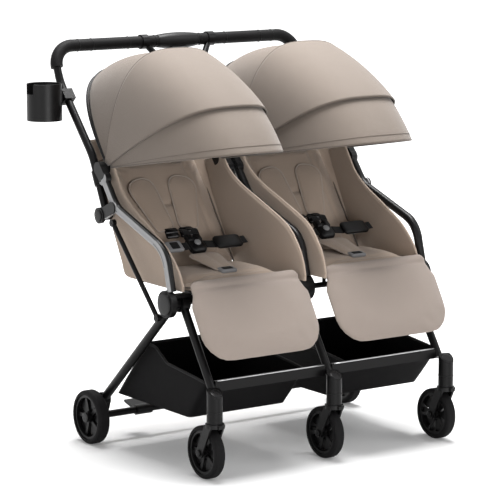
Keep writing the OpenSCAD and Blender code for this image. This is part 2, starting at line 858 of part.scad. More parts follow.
// Handle upright, corner and half of the bar inside the grip
handle_boss_r = 13;
sleeve_r = 13;
sleeve_shares = [0.5, 0.75];
handle_neck = handle_bar - heading(handle_upper_bend, handle_bar) * (handle_corner - bend_lap);
bar_lap = 8;
bar_end = fold_housing_half - bar_lap;

module handle_corner_tube(r, inner_end) {
    handle_plane() {
        translate([-handle_x + handle_corner, -handle_corner, 0]) rotate(90)
            rotate_extrude(angle = 90) translate([handle_corner, 0]) circle(r + bend_swell);
        bar([-handle_x + handle_corner - bend_lap, 0], [-inner_end, 0], r);
    }
}

module left_handle_tube() {
    color(frame_colour) {
        difference() {
            side_view(-handle_x) {
                bent_tube([handle_pivot, handle_lower_bend, handle_upper_bend, handle_neck], handle_bend, handle_r);
                cross_pin(handle_pivot, handle_boss_r, -handle_r * lug_share, handle_r * lug_share);
                bar(between(handle_pivot, handle_lower_bend, sleeve_shares[0]),
                    between(handle_pivot, handle_lower_bend, sleeve_shares[1]), sleeve_r);
            }
            side_view(-handle_x)
                cross_pin(handle_pivot, hinge_pin_r + running, -handle_r - overrun, handle_r + overrun);
        }
        handle_corner_tube(handle_r, bar_end);
    }
}

module right_handle_tube() {
    right_side() left_handle_tube();
}

module left_grip() {
    color(rubber_colour) difference() {
        handle_corner_tube(grip_r, fold_housing_half + clear);
        handle_corner_tube(handle_r + running, fold_housing_half - overrun);
    }
}

module right_grip() {
    right_side() left_grip();
}

// V brace from the bar to the middle post
collar_w = 20;
collar_wall = 3;
brace_share = 0.27;
brace_knot_share = 1.25;
brace_node = between(handle_upper_bend, handle_lower_bend, brace_share);
module handle_brace() {
    color(frame_colour) difference() {
        union() {
            for (s = [-1, 1]) brace_leg(s);
            side_view(0) {
                bent_tube([handle_pivot, handle_lower_bend, brace_node], handle_bend, brace_r);
                translate(brace_node) sphere(brace_r * brace_knot_share);
                cross_pin(handle_pivot, handle_boss_r, -post_boss_half, post_boss_half);
            }
        }
        handle_plane() rotate([0, 90, 0]) cylinder(h = 4 * brace_x, r = grip_r + clear, center = true);
        side_view(0) cross_pin(handle_pivot, hinge_pin_r + running, -post_boss_half - overrun, post_boss_half + overrun);
    }
}

// One leg of the V with the collar that holds it on the grip
module brace_leg(s) {
    top = [s * brace_x, handle_bar[0], handle_bar[1]];
    foot = [0, brace_node[0], brace_node[1]];
    way = foot - top;
    handle_plane() rotate([0, 90, 0]) translate([0, 0, s * brace_x])
        cylinder(h = collar_w, r = grip_r + clear + collar_wall, center = true);
    translate(top) rotate([0, acos(way[2] / norm(way)), atan2(way[1], way[0])]) cylinder(h = norm(way), r = brace_r);
}

// Housing at the middle of the bar, with a pocket for the fold button
button_w = 44;
button_d = 15;
barrel_share = 0.7;
module fold_housing() {
    color(plastic_colour) handle_plane() difference() {
        rotate([0, 90, 0]) rotate_extrude() polygon([
            [0, -fold_housing_half], [grip_r, -fold_housing_half],
            [fold_housing_r, -fold_housing_half * barrel_share], [fold_housing_r, fold_housing_half * barrel_share],
            [grip_r, fold_housing_half], [0, fold_housing_half]
        ]);
        for (s = [-1, 1]) translate([s * bar_end, 0, 0]) rotate([0, s * 90, 0])
            translate([0, 0, -clear]) cylinder(h = fold_housing_half, r = handle_r + running);
        translate([-button_w / 2 - clear, -fold_housing_r - overrun, -button_d / 2 - clear])
            cube([button_w + 2 * clear, fold_housing_r + overrun, button_d + 2 * clear]);
    }
}

module fold_button() {
    color(button_colour) handle_plane()
        translate([-button_w / 2, -fold_housing_r - fold_button_travel, -button_d / 2])
            cube([button_w, fold_housing_r - clear, button_d]);
}

// Cup holder clamped to the left upright
cup_x = handle_x + handle_r + cup_gap + cup_r + cup_wall;
cup_at_share = 0.8;
cup_at = between(handle_lower_bend, handle_upper_bend, cup_at_share);
clamp_half = 15;
clamp_wall = 5;
cup_drop_share = 0.6;
notch_floor_share = 0.72;
notch_w_share = 0.8;
module cup_holder() {
    way = heading(handle_lower_bend, handle_upper_bend);
    cup_floor = cup_at[1] - cup_h * cup_drop_share;
    clamp_w = handle_d + 2 * clamp_wall;
    arm_l = cup_x - handle_x - handle_r - cup_r - cup_wall / 2;
    notch_w = cup_r * notch_w_share;
    color(plastic_colour) difference() {
        union() {
            translate([-cup_x, cup_at[0], cup_floor]) cylinder(h = cup_h, r = cup_r + cup_wall);
            side_view(-handle_x) translate(cup_at) rotate(slope_of(way))
                linear_extrude(clamp_w, center = true) square([2 * clamp_half, clamp_w], center = true);
            translate([-handle_x - handle_r - arm_l / 2, cup_at[0], cup_at[1]])
                cube([arm_l, clamp_half, 2 * clamp_half], center = true);
        }
        translate([-cup_x, cup_at[0], cup_floor + cup_wall]) cylinder(h = cup_h, r = cup_r);
        side_view(-handle_x) bar(cup_at - way * 2 * clamp_half, cup_at + way * 2 * clamp_half, handle_r + running);
        translate([-cup_x - 2 * cup_r, cup_at[0] - notch_w / 2, cup_floor + cup_h * notch_floor_share])
            cube([2 * cup_r, notch_w, cup_h]);
    }
}

// Rear leg with its head in the hub, the wheel bracket, the axle stub and the strut pin
leg_start_share = 0.5;
module left_rear_leg() {
    leg_start = hub + rear_leg_way * hub_head_r * leg_start_share;
    axle_out = rear_wheel_x - rear_leg_x + rear_wheel_w / 2;
    color(frame_colour) side_view(-rear_leg_x) {
        difference() {
            union() {
                bar(leg_start, rear_leg_foot, rear_leg_r);
                cross_pin(hub, hub_head_r, -rear_lug, rear_lug);
                linear_extrude(2 * rear_lug, center = true) link_outline(rear_leg_foot, rear_axle_at, rear_bracket_r);
                cross_pin(rear_axle_at, axle_r, -axle_out, 0);
                cross_pin(strut_foot, strut_pin_r, -rear_leg_r - leg_gap - strut_d, 0);
            }
            cross_pin(hub, hub_pin_r + running, -rear_leg_r - overrun, rear_leg_r + overrun);
        }
    }
}

module right_rear_leg() {
    right_side() left_rear_leg();
}

module rear_cross_tube() {
    reach = rear_leg_x - rear_lug;
    color(frame_colour) side_view(0) cross_pin(rear_axle_at, rear_cross_r, -reach, reach);
}

// Foot pedal that turns on the rear cross tube
brake_at_share = 0.66;
brake_wall = 4;
brake_rise = 15;
module brake_pedal() {
    pedal_end = rear_axle_at + brake_reach * bearing(brake_rise);
    color(button_colour) side_view(-rear_leg_x * brake_at_share) difference() {
        translate([0, 0, -brake_sleeve_l / 2]) linear_extrude(brake_sleeve_l) {
            translate(rear_axle_at) circle(rear_cross_r + running + brake_wall);
            link_outline(rear_axle_at, pedal_end, brake_wall);
        }
        cross_pin(rear_axle_at, rear_cross_r + running, -brake_sleeve_l, brake_sleeve_l);
    }
}

// Strut between the rear leg and the handle hinge
module left_fold_strut() {
    top = strut_head - heading(strut_foot, strut_head) * strut_head_short;
    color(frame_colour) side_view(-strut_x) difference() {
        union() {
            bar(strut_foot, top, strut_r);
            cross_pin(strut_foot, strut_eye_r, -strut_r * lug_share, strut_r * lug_share);
            cross_pin(top, strut_eye_r, -strut_r * lug_share, strut_r * lug_share);
        }
        cross_pin(strut_foot, strut_pin_r + running, -strut_d, strut_d);
    }
}

module right_fold_strut() {
    right_side() left_fold_strut();
}

// Caster fork: stem, crown, two arms, the axle and the swivel stop tab
fork_side_gap = 2;
fork_arm_r = 13;
crown_lip = 1.5;
axle_proud = 2;
arm_top_share = 0.7;
tab_share = 0.8;
module caster_fork(x) {
    arm_in = front_wheel_w / 2 + fork_side_gap;
    arm_out = arm_in + fork_arm_t;
    arm_top = [caster_y, fork_crown_z + fork_crown_h / 2];
    arm_cut = fork_crown_z + fork_crown_h * arm_top_share;
    stem_l = housing_top - housing_bottom - housing_r - overrun;
    crown_r = arm_out + crown_lip;
    tab_h = fork_crown_h * tab_share;
    color(plastic_colour) {
        translate([x, caster_y, fork_crown_z]) {
            cylinder(h = fork_crown_h, r = crown_r);
            cylinder(h = fork_crown_h + clear + stem_l, r = stem_r);
            translate([-fork_arm_r / 2, -crown_r - fork_arm_r / 2, (fork_crown_h - tab_h) / 2])
                cube([fork_arm_r, crown_r, tab_h]);
        }
        for (s = [-1, 1]) side_view(x + s * (arm_in + arm_out) / 2) difference() {
            linear_extrude(fork_arm_t, center = true) link_outline(arm_top, front_axle, fork_arm_r);
            translate([caster_y - 2 * fork_arm_r, arm_cut, -fork_arm_t])
                cube([4 * fork_arm_r, 2 * fork_arm_r, 2 * fork_arm_t]);
        }
        side_view(x) cross_pin(front_axle, axle_r, -arm_out - axle_proud, arm_out + axle_proud);
    }
}

module left_caster_fork() {
    caster_fork(-caster_x);
}

module middle_caster_fork() {
    caster_fork(0);
}

module right_caster_fork() {
    caster_fork(caster_x);
}

// Wheels: a spoked rim and the tyre around it, turning about X
tyre_share = 0.17;
shoulder_share = 0.25;
rim_ring_share = 0.1;
rim_hub_share = 0.22;
spoke_count = 5;
spoke_share = 0.14;
rim_width_share = 0.8;
module rim(x, at, r, w) {
    seat_r = r * (1 - tyre_share);
    ring_r = seat_r - r * rim_ring_share;
    width = w * rim_width_share;
    color(plastic_colour) side_view(x) translate(at) difference() {
        translate([0, 0, -width / 2]) union() {
            linear_extrude(width) difference() {
                circle(seat_r);
                circle(ring_r);
            }
            linear_extrude(width) circle(r * rim_hub_share);
            translate([0, 0, width / 4]) linear_extrude(width / 2) for (i = [0 : spoke_count - 1])
                rotate(360 / spoke_count * i) translate([0, -r * spoke_share / 2])
                    square([ring_r + r * rim_ring_share / 2, r * spoke_share]);
        }
        cylinder(h = 2 * w, r = axle_r + running, center = true);
    }
}

module tyre(x, at, r, w) {
    seat_r = r * (1 - tyre_share);
    shoulder = w * shoulder_share;
    color(rubber_colour) side_view(x) translate(at) rotate_extrude() difference() {
        union() {
            translate([seat_r + clear / 2, -w / 2]) square([r - shoulder - seat_r - clear / 2, w]);
            translate([r - shoulder - overrun, shoulder - w / 2]) square([shoulder + overrun, w - 2 * shoulder]);
            for (s = [-1, 1]) translate([r - shoulder, s * (w / 2 - shoulder)]) circle(shoulder);
        }
        translate([0, -w]) square([seat_r + clear / 2, 2 * w]);
    }
}

module left_front_rim() {
    rim(-caster_x, front_axle, front_wheel_r, front_wheel_w);
}

module middle_front_rim() {
    rim(0, front_axle, front_wheel_r, front_wheel_w);
}

module right_front_rim() {
    rim(caster_x, front_axle, front_wheel_r, front_wheel_w);
}

module left_front_tyre() {
    tyre(-caster_x, front_axle, front_wheel_r, front_wheel_w);
}

module middle_front_tyre() {
    tyre(0, front_axle, front_wheel_r, front_wheel_w);
}

module right_front_tyre() {
    tyre(caster_x, front_axle, front_wheel_r, front_wheel_w);
}

module left_rear_rim() {
    rim(-rear_wheel_x, rear_axle_at, rear_wheel_r, rear_wheel_w);
}

module right_rear_rim() {
    rim(rear_wheel_x, rear_axle_at, rear_wheel_r, rear_wheel_w);
}

module left_rear_tyre() {
    tyre(-rear_wheel_x, rear_axle_at, rear_wheel_r, rear_wheel_w);
}

module right_rear_tyre() {
    tyre(rear_wheel_x, rear_axle_at, rear_wheel_r, rear_wheel_w);
}

left_outer_tube();
right_outer_tube();
middle_tubes();
hubs();
left_front_leg();
middle_front_leg();
right_front_leg();
front_bars();
seat_frame();
left_seat();
right_seat();
left_side_panels();
right_side_panels();
left_basket();
right_basket();
left_canopy_rear();
right_canopy_rear();
left_harness_straps();
right_harness_straps();
left_buckle();
right_buckle();
left_backrest();
right_backrest();
left_shoulder_pads();
right_shoulder_pads();
left_canopy_main();
right_canopy_main();
left_canopy_visor();
right_canopy_visor();
left_footrest();
right_footrest();
left_buckle_button();
right_buckle_button();
left_handle_tube();
right_handle_tube();
handle_brace();
left_grip();
right_grip();
fold_housing();
fold_button();
cup_holder();
left_rear_leg();
right_rear_leg();
rear_cross_tube();
brake_pedal();
left_fold_strut();
right_fold_strut();
left_caster_fork();
middle_caster_fork();
right_caster_fork();
left_front_rim();
middle_front_rim();
right_front_rim();
left_front_tyre();
middle_front_tyre();
right_front_tyre();
left_rear_rim();
right_rear_rim();
left_rear_tyre();
right_rear_tyre();
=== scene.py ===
"""Dresses the side by side double stroller: cloth, harness, trim, finishes and the studio stage."""

import json
import math

import bmesh
import bpy
import numpy as np
from bpy.props import FloatProperty, FloatVectorProperty, PointerProperty
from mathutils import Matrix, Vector


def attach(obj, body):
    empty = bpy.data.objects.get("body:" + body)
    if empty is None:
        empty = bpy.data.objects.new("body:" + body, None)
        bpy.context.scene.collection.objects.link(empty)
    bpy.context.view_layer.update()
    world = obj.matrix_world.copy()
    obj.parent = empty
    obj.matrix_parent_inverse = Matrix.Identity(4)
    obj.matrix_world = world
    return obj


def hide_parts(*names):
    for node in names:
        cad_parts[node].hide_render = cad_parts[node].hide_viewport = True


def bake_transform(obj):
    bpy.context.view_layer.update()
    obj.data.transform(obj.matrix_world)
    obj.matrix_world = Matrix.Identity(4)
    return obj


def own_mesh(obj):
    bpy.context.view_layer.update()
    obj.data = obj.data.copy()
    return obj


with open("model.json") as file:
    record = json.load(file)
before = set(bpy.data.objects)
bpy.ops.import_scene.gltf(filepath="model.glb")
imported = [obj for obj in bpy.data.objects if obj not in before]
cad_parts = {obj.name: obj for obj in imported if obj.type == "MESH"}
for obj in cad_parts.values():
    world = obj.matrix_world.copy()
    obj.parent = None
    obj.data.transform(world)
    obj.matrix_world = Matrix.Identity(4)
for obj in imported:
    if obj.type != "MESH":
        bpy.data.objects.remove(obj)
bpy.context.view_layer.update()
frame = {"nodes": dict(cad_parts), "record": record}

bl_info = {
    "name": "Double stroller dresser",
    "version": (1, 0, 0),
    "blender": (4, 5, 0),
    "location": "3D View > Sidebar > Stroller",
    "description": "Dresses the frame of a side by side stroller with cloth, harness, trim and finishes",
    "category": "Object",
}

# Places are in metres in the CAD's frame: x across, y to the back, z up. A pair is (y, z). Canopy angles and
# laps are in degrees.

SIDES = (("left", -1.0), ("right", 1.0))
SEAT_X = 0.197
SEAT_PITCH = 2 * SEAT_X
SEAT_SHIFTS = (("left", 0.0), ("right", SEAT_PITCH))
SEAT_FRONT, SEAT_BASE = -0.146, 0.434
RAIL_SEAT = 0.0073
BACK_HINGE = np.array([0.0984763, 0.42775])
BACK_SLOPE = math.radians(54.0)
FOOT_HINGE = np.array([-0.1533, 0.446])
FOOT_SLOPE = math.radians(59.0)

CANOPY_PIVOT = np.array([0.195778, 0.696551])
CANOPY_PIN = 0.0145
CANOPY_ANGLES = {"rear": 50.0, "mid": 106.0, "seam": 140.0, "front": 160.5}
CANOPY_LAP = 3.0
CANOPY_R = 0.300
CANOPY_HALF = 0.1707
CANOPY_STEP = 0.006
MAIN, VISOR, REAR = 0, 1, 2  # layers of the canopy, from the outside in
BOW_POWER = 3.0
CANOPY_DRAW = 1.55
DRAW_ANGLE = math.radians(193.0)
DRAW_LINE = np.array([math.cos(DRAW_ANGLE), math.sin(DRAW_ANGLE)])

BUCKLE_AT = np.array([0.0245748, 0.485091])
BUCKLE_LEAN = math.radians(36.0)
BUCKLE_LEAD = 0.00437

HANDLE_BAR = np.array([0.43116, 0.980072])
HANDLE_TILT = math.radians(68.085)
HANDLE_PIVOT = np.array([0.17716, 0.583072])
HINGE_FACE_X = 0.3968
HUB = (-0.114, 0.406)
HUB_FACE_X = 0.3925
# Band of |x| where the outer seat tubes get a painted highlight, a lamp's reflection painted into their colour
HIGHLIGHT_BAND_X = (0.3852, 0.3904)
PLATE_REACH = 0.034

CASTERS = (("left", -0.35), ("middle", 0.0), ("right", 0.35))
HOUSING_SLOPE = math.radians(35.0)
FRONT_AXLE = (-0.225, 0.064)
REAR_AXLE = (0.225, 0.068)
REAR_WHEEL_X = 0.395

# Pads: width, length and thickness
SEAT_PAD = (0.294, 0.208, 0.025)
BACK_PAD = (0.298, 0.331, 0.025)
FOOT_PAD = (0.348, 0.214, 0.018)
SHOULDER_PAD = (0.084, 0.150, 0.010)
CROTCH_PAD = (0.090, 0.110, 0.009)
PAD_PIPING = 0.0022
FINE_VOXEL = 0.004
THIN_CLOTH = 0.0018
STRAP_THICK = 0.0022


def length_property(name, description, default):
    return FloatProperty(name=name, description=description, default=default, unit="LENGTH")


class StrollerSizes(bpy.types.PropertyGroup):
    """Sizes of the cloth and the trim."""

    cloth: length_property("Cloth", "Thickness of the canopy cloth", 0.0018)
    sag: length_property("Sag", "How far the canopy cloth draws in between its bows", 0.003)
    piping: length_property("Piping", "Radius of the canopy piping", 0.0022)
    seam: length_property("Seam", "Depth of a sewn channel", 0.0045)
    swell: length_property("Swell", "Most that a pad may swell in the cloth simulation", 0.007)
    wing: length_property("Wing", "Thickness of the padded side wings", 0.006)
    webbing: length_property("Webbing", "Width of the harness webbing", 0.025)
    basket_sag: length_property("Basket sag", "How far the basket floor hangs through", 0.007)


def colour_property(name, description, default):
    return FloatVectorProperty(
        name=name, description=description, default=default, size=3, subtype="COLOR", min=0, max=1
    )


class StrollerColours(bpy.types.PropertyGroup):
    """Colours of the finishes."""

    # fabric, lining and pad are one taupe cloth in three brightnesses: the canopy's is darkened, painted shade against
    # the strong top lamp, the lining's is brightened, painted light for the shaded inside of the seats, and the pad's
    # lies between
    fabric: colour_property("Fabric", "Cloth of the canopies", (0.168, 0.139, 0.117))
    lining: colour_property("Lining", "Cloth of the seats, backrests, wings and harness pads", (0.360, 0.284, 0.228))
    pad: colour_property("Pad", "Cloth of the footrests", (0.262, 0.218, 0.190))
    piping: colour_property("Piping", "Piping and seam tape", (0.115, 0.094, 0.078))
    binding: colour_property("Binding", "Bound edges of the harness pads", (0.38, 0.318, 0.272))
    tube: colour_property("Tube", "Coated tubes of the frame", (0.0040, 0.0038, 0.0040))
    satin: colour_property("Satin tube", "Curved seat tubes between the seats", (0.016, 0.0155, 0.016))
    # Colour of the painted highlight on the outer seat tubes' outer side: a lamp's reflection painted in, not silver
    # metal
    highlight_paint: colour_property("Silver", "Bright outside of the outer seat tubes", (0.29, 0.29, 0.295))
    plastic: colour_property("Plastic", "Moulded black plastic", (0.0028, 0.0026, 0.0028))
    accent: colour_property("Accent", "Grey moulded plastic", (0.20, 0.20, 0.205))
    rubber: colour_property("Rubber", "Tyres and grips", (0.0030, 0.0028, 0.0030))
    basket: colour_property("Basket", "Cloth of the baskets", (0.0030, 0.0028, 0.0031))
    webbing: colour_property("Webbing", "Harness webbing", (0.0045, 0.0043, 0.0045))
    # A painted highlight: bright strips on the front bars' top edges stand in for the glint of light along the bars'
    # rounded tops
    metal: colour_property("Metal", "Bare edges of the front bars", (0.50, 0.50, 0.51))
    floor: colour_property("Floor", "Studio floor", (0.80, 0.80, 0.80))


def sizes():
    return bpy.context.scene.stroller_sizes


def colours():
    return bpy.context.scene.stroller_colours


# Shader maths


class Value:
    """A node socket with arithmetic: each operator adds one Math node."""

    def __init__(self, nodes, socket):
        self.nodes = nodes
        self.socket = socket

    def math(self, operation, *values):
        return self.nodes.node("Math", {"operation": operation}, dict(enumerate(values)))

    def __add__(self, other):
        return self.math("ADD", self, other)

    def __sub__(self, other):
        return self.math("SUBTRACT", self, other)

    def __rsub__(self, other):
        return self.math("SUBTRACT", other, self)

    def __mul__(self, other):
        return self.math("MULTIPLY", self, other)

    __radd__ = __add__
    __rmul__ = __mul__

    def sine(self):
        return self.math("SINE", self)

    def size(self):
        return self.math("ABSOLUTE", self)

    def root(self):
        return self.math("SQRT", self)

    def clamp(self):
        return self.math("MINIMUM", self.math("MAXIMUM", self, 0.0), 1.0)


class Nodes:
    """A node tree whose nodes are made by one method."""

    def __init__(self, tree):
        self.tree = tree

    def node(self, kind, settings, inputs, out=0):
        made = self.tree.nodes.new("ShaderNode" + kind)
        for key, value in settings.items():
            setattr(made, key, value)
        for key, value in inputs.items():
            self.feed(made.inputs[key], value)
        return Value(self, made.outputs[out])

    def feed(self, socket, value):
        if isinstance(value, Value):
            self.tree.links.new(value.socket, socket)
        else:
            socket.default_value = value

    def seen(self):
        """One on camera, glossy and transmission rays, nought on the rays that light the object."""
        rays = [self.node("LightPath", {}, {}, out=f"Is {kind} Ray") for kind in ("Camera", "Glossy", "Transmission")]
        return (rays[0] + rays[1] + rays[2]).clamp()


class Finish(Nodes):
    """One material whose nodes are written as expressions."""

    def __init__(self, name, colour, roughness, **constants):
        self.material = bpy.data.materials.new(name)
        self.material.use_nodes = True
        super().__init__(self.material.node_tree)
        self.shader = self.tree.nodes["Principled BSDF"]
        self.colour = (*colour, 1.0)
        self.material.diffuse_color = self.colour
        self.shader.inputs["Base Color"].default_value = self.colour
        self.shader.inputs["Roughness"].default_value = roughness
        for socket, value in constants.items():
            self.shader.inputs[socket.replace("_", " ")].default_value = value

    def place(self, scale=1.0):
        here = self.node("TexCoord", {}, {}, out="Object")
        return self.node("Mapping", {}, {"Vector": here, "Scale": (scale, scale, scale)})

    def axes(self, scale):
        here = self.place(scale)
        return [self.node("SeparateXYZ", {}, {"Vector": here}, out=axis) for axis in "XYZ"]

    def noise(self, scale, detail=3.0, roughness=0.55):
        grain = {"Vector": self.place(), "Scale": scale, "Detail": detail, "Roughness": roughness}
        return self.node("TexNoise", {}, grain)

    def tint(self, factor, dark, light):
        self.paint(factor, *[tuple(min(1.0, c * k) for c in self.colour[:3]) for k in (dark, light)])

    def paint(self, factor, first, second):
        mixed = self.node("Mix", {"data_type": "RGBA"}, {0: factor, 6: (*first, 1.0), 7: (*second, 1.0)}, out=2)
        self.feed(self.shader.inputs["Base Color"], mixed)

    def rough(self, value):
        self.feed(self.shader.inputs["Roughness"], value)

    def bump(self, height, strength, distance):
        made = self.node("Bump", {}, {"Height": height, "Strength": strength, "Distance": distance})
        self.feed(self.shader.inputs["Normal"], made)


def woven(name, colour, thread, rough=0.86, sheen=0.2, mottling=0.05, relief=0.35, gloss=0.2):
    """Plain weave: warp and weft are sines across and along, crossed, with slubs and a soft mottling."""
    finish = Finish(name, colour, rough, Sheen_Weight=sheen, Sheen_Roughness=0.5, Specular_IOR_Level=gloss)
    x, y, z = finish.axes(2.0 * math.pi / thread)
    warp = x.sine() * ((y + z) * 0.7071).sine()
    weft = ((y - z) * 0.7071).sine() * 0.5
    slub = finish.noise(420.0, 2.0)
    broad = finish.noise(7.0, 2.0)
    finish.tint((slub * 0.5 + broad * 0.35 + (warp + weft) * 0.1 + 0.08).clamp(), 1.0 - mottling, 1.0 + mottling)
    folds = finish.noise(16.0, 2.0, 0.45)
    finish.bump((warp + weft) * 0.25 + slub * 0.6 + folds * 6.0, relief, 0.0009)
    return finish.material


def coated(name, colour, rough, metallic, scratch=0.06):
    """Satin coat on metal: a fine orange peel and cloudy gloss."""
    finish = Finish(name, colour, rough, Metallic=metallic, Specular_IOR_Level=0.16)
    cloud = finish.noise(22.0, 3.0)
    grain = finish.noise(900.0, 2.0)
    finish.rough((cloud * scratch * 2.0 + (rough - scratch)).clamp())
    finish.tint(cloud, 0.88, 1.12)
    finish.bump(grain, 0.06, 0.0003)
    return finish.material


def moulded(name, colour, rough):
    """Moulded plastic: spark-eroded grain with slightly paler patches at random."""
    finish = Finish(name, colour, rough, Specular_IOR_Level=0.2)
    grain = finish.noise(1400.0, 2.0)
    cloud = finish.noise(30.0, 3.0)
    finish.rough((grain * 0.12 + cloud * 0.1 + (rough - 0.11)).clamp())
    finish.tint(cloud, 0.85, 1.2)
    finish.bump(grain, 0.12, 0.0003)
    return finish.material


def two_tone(name, dark, light):
    """Dark coated tube with a painted highlight: a pale band in the given range of |x| stands in for a lamp's
    reflection along the tube's outer side; dark elsewhere and on the plates round the two pivots."""
    finish = Finish(name, dark, 0.36, Specular_IOR_Level=0.2)
    x, y, z = finish.axes(1.0)
    start, end = HIGHLIGHT_BAND_X
    # Mask of the painted highlight: the pale band along the tube's outer side, cut out round the pivot plates
    outside = ((x.size() - start) * 600.0).clamp() * ((end - x.size()) * 3000.0).clamp()
    for pivot in (HANDLE_PIVOT, CANOPY_PIVOT):
        across, up = y - float(pivot[0]), z - float(pivot[1])
        outside = outside * (((across * across + up * up).root() - PLATE_REACH) * 800.0).clamp()
    cloud = finish.noise(22.0, 3.0)
    # Paints the highlight band pale on the dark coat
    finish.paint(outside, dark, light)
    finish.rough(outside * 0.1 + cloud * 0.12 + 0.28)
    finish.bump(finish.noise(900.0, 2.0), 0.06, 0.0003)
    return finish.material


def rubbery(name, colour, rough, dust):
    """Rubber: matt, with a fine pebble grain and a breath of dust."""
    finish = Finish(name, colour, rough, Specular_IOR_Level=0.12)
    pebble = finish.node("TexVoronoi", {}, {"Vector": finish.place(), "Scale": 700.0})
    cloud = finish.noise(18.0, 4.0)
    finish.rough((cloud * 0.16 + (rough - 0.08)).clamp())
    finish.tint(cloud, 0.85, 1.0 + dust)
    finish.bump(pebble, 0.15, 0.0004)
    return finish.material


def ribbed(name, colour):
    """Webbing: close ribs across the strap, with a soft edge sheen."""
    finish = Finish(name, colour, 0.72, Sheen_Weight=0.05, Specular_IOR_Level=0.15)
    x, y, z = finish.axes(2.0 * math.pi / 0.0016)
    rib = ((y + z) * 0.7071).sine() + x.sine() * 0.4
    slub = finish.noise(500.0, 2.0)
    finish.tint((rib * 0.2 + slub * 0.5 + 0.2).clamp(), 0.75, 1.3)
    finish.bump(rib, 0.3, 0.0004)
    return finish.material


FINISHES = {}


def make_finishes():
    c = colours()
    FINISHES.update(
        # Three copies of one taupe cloth, darkened or brightened as painted shade and light
        fabric=woven("taupe_canvas_painted_shade", c.fabric, 0.0011),
        lining=woven("taupe_lining_painted_light", c.lining, 0.0011),
        pad=woven("taupe_pad_canvas", c.pad, 0.0011, mottling=0.04),
        piping=woven("taupe_piping", c.piping, 0.0009, relief=0.2),
        binding=woven("taupe_binding", c.binding, 0.0009, relief=0.2),
        basket=woven("black_basket_cloth", c.basket, 0.0014, rough=0.7, sheen=0.0, mottling=0.2, gloss=0.08),
        tube=coated("black_tube_coat", c.tube, 0.33, 0.2),
        satin=coated("gunmetal_tube_coat", c.satin, 0.28, 0.5),
        # Coat of the outer seat tubes, with its painted highlight band
        two_tone=two_tone("two_tone_tube_coat", c.tube, c.highlight_paint),
        # Coat of the bright strips that paint a highlight on the front bars
        metal=coated("painted_highlight_edge", c.metal, 0.3, 1.0),
        plastic=moulded("black_moulding", c.plastic, 0.40),
        accent=moulded("grey_moulding", c.accent, 0.42),
        grip=rubbery("foam_grip", c.rubber, 0.62, 0.4),
        tyre=rubbery("tyre_rubber", c.rubber, 0.7, 0.9),
        webbing=ribbed("black_webbing", c.webbing),
    )


# Surfaces


def quads(rows, cols, close_rows=False, close_cols=False):
    """Corner indices of the quads of a grid of rows by cols points, row by row."""
    r, c = np.meshgrid(np.arange(rows - (not close_rows)), np.arange(cols - (not close_cols)), indexing="ij")
    n, m = (r + 1) % rows, (c + 1) % cols
    return np.stack([r * cols + c, r * cols + m, n * cols + m, n * cols + c], axis=-1).reshape(-1, 4)


def rim(rows, cols):
    """Indices once round the border of a grid."""
    index = np.arange(rows * cols).reshape(rows, cols)
    return np.concatenate([index[0, :-1], index[:-1, -1], index[-1, :0:-1], index[:0:-1, 0]])


def sheet_solid(outer, inner):
    """A closed wall: an outer grid, an inner grid and the border between them."""
    rows, cols = outer.shape[:2]
    count = rows * cols
    face = quads(rows, cols)
    edge = rim(rows, cols)
    ahead = np.roll(edge, -1)
    border = np.stack([edge, ahead, ahead + count, edge + count], axis=-1)
    points = np.concatenate([outer.reshape(-1, 3), inner.reshape(-1, 3)])
    return points, [*face.tolist(), *(face[:, ::-1] + count).tolist(), *border.tolist()]


def ring_solid(rings):
    """A closed body: rings of points one after the other, with a flat cap on the first and the last."""
    rows, cols = rings.shape[:2]
    face = quads(rows, cols, close_cols=True).tolist()
    first = list(range(cols))
    last = [(rows - 1) * cols + i for i in range(cols)]
    return rings.reshape(-1, 3), [*face, first[::-1], last]


def sweep(path, across, up, closed=False):
    """A profile carried along a path: across and up are the profile's points in the plane square to the path.
    The plane's own axes follow the path's tangent and the normal of the path's best plane."""
    path = np.asarray(path, float)
    if closed:
        tangent = np.roll(path, -1, axis=0) - np.roll(path, 1, axis=0)
    else:
        tangent = np.gradient(path, axis=0)
    tangent /= np.linalg.norm(tangent, axis=1, keepdims=True)
    flat = np.linalg.svd(path - path.mean(axis=0))[2][2]
    side = np.cross(tangent, flat)
    side /= np.linalg.norm(side, axis=1, keepdims=True)
    top = np.cross(side, tangent)
    across, up = np.asarray(across)[None, :, None], np.asarray(up)[None, :, None]
    rings = path[:, None] + side[:, None] * across + top[:, None] * up
    if closed:
        rows, cols = rings.shape[:2]
        return rings.reshape(-1, 3), quads(rows, cols, True, True).tolist()
    return ring_solid(rings)


def round_profile(radius, sides=12):
    """A round section: points of a circle."""
    turn = np.linspace(0.0, 2.0 * math.pi, sides, endpoint=False)
    return radius * np.cos(turn), radius * np.sin(turn)


def strap_profile(width, thick, sides=16):
    """A flat strap's section: a superellipse of width by thick."""
    turn = np.linspace(0.0, 2.0 * math.pi, sides, endpoint=False)
    bend = lambda v: np.sign(v) * np.abs(v) ** 0.45
    return bend(np.cos(turn)) * thick / 2.0, bend(np.sin(turn)) * width / 2.0


def tube(path, radius, sides=12, closed=False):
    """A circle carried along a path."""
    return sweep(path, *round_profile(radius, sides), closed=closed)


def smooth_path(points, count):
    """A path of count points through the given ones: a Catmull-Rom curve."""
    p = np.asarray(points, float)
    p = np.concatenate([[2 * p[0] - p[1]], p, [2 * p[-1] - p[-2]]])
    s = np.linspace(0.0, len(p) - 3 - 1e-9, count)
    i = s.astype(int)
    t = (s - i)[:, None]
    a, b, c, d = p[i], p[i + 1], p[i + 2], p[i + 3]
    return 0.5 * (2 * b + (c - a) * t + (2 * a - 5 * b + 4 * c - d) * t**2 + (3 * b - a - 3 * c + d) * t**3)


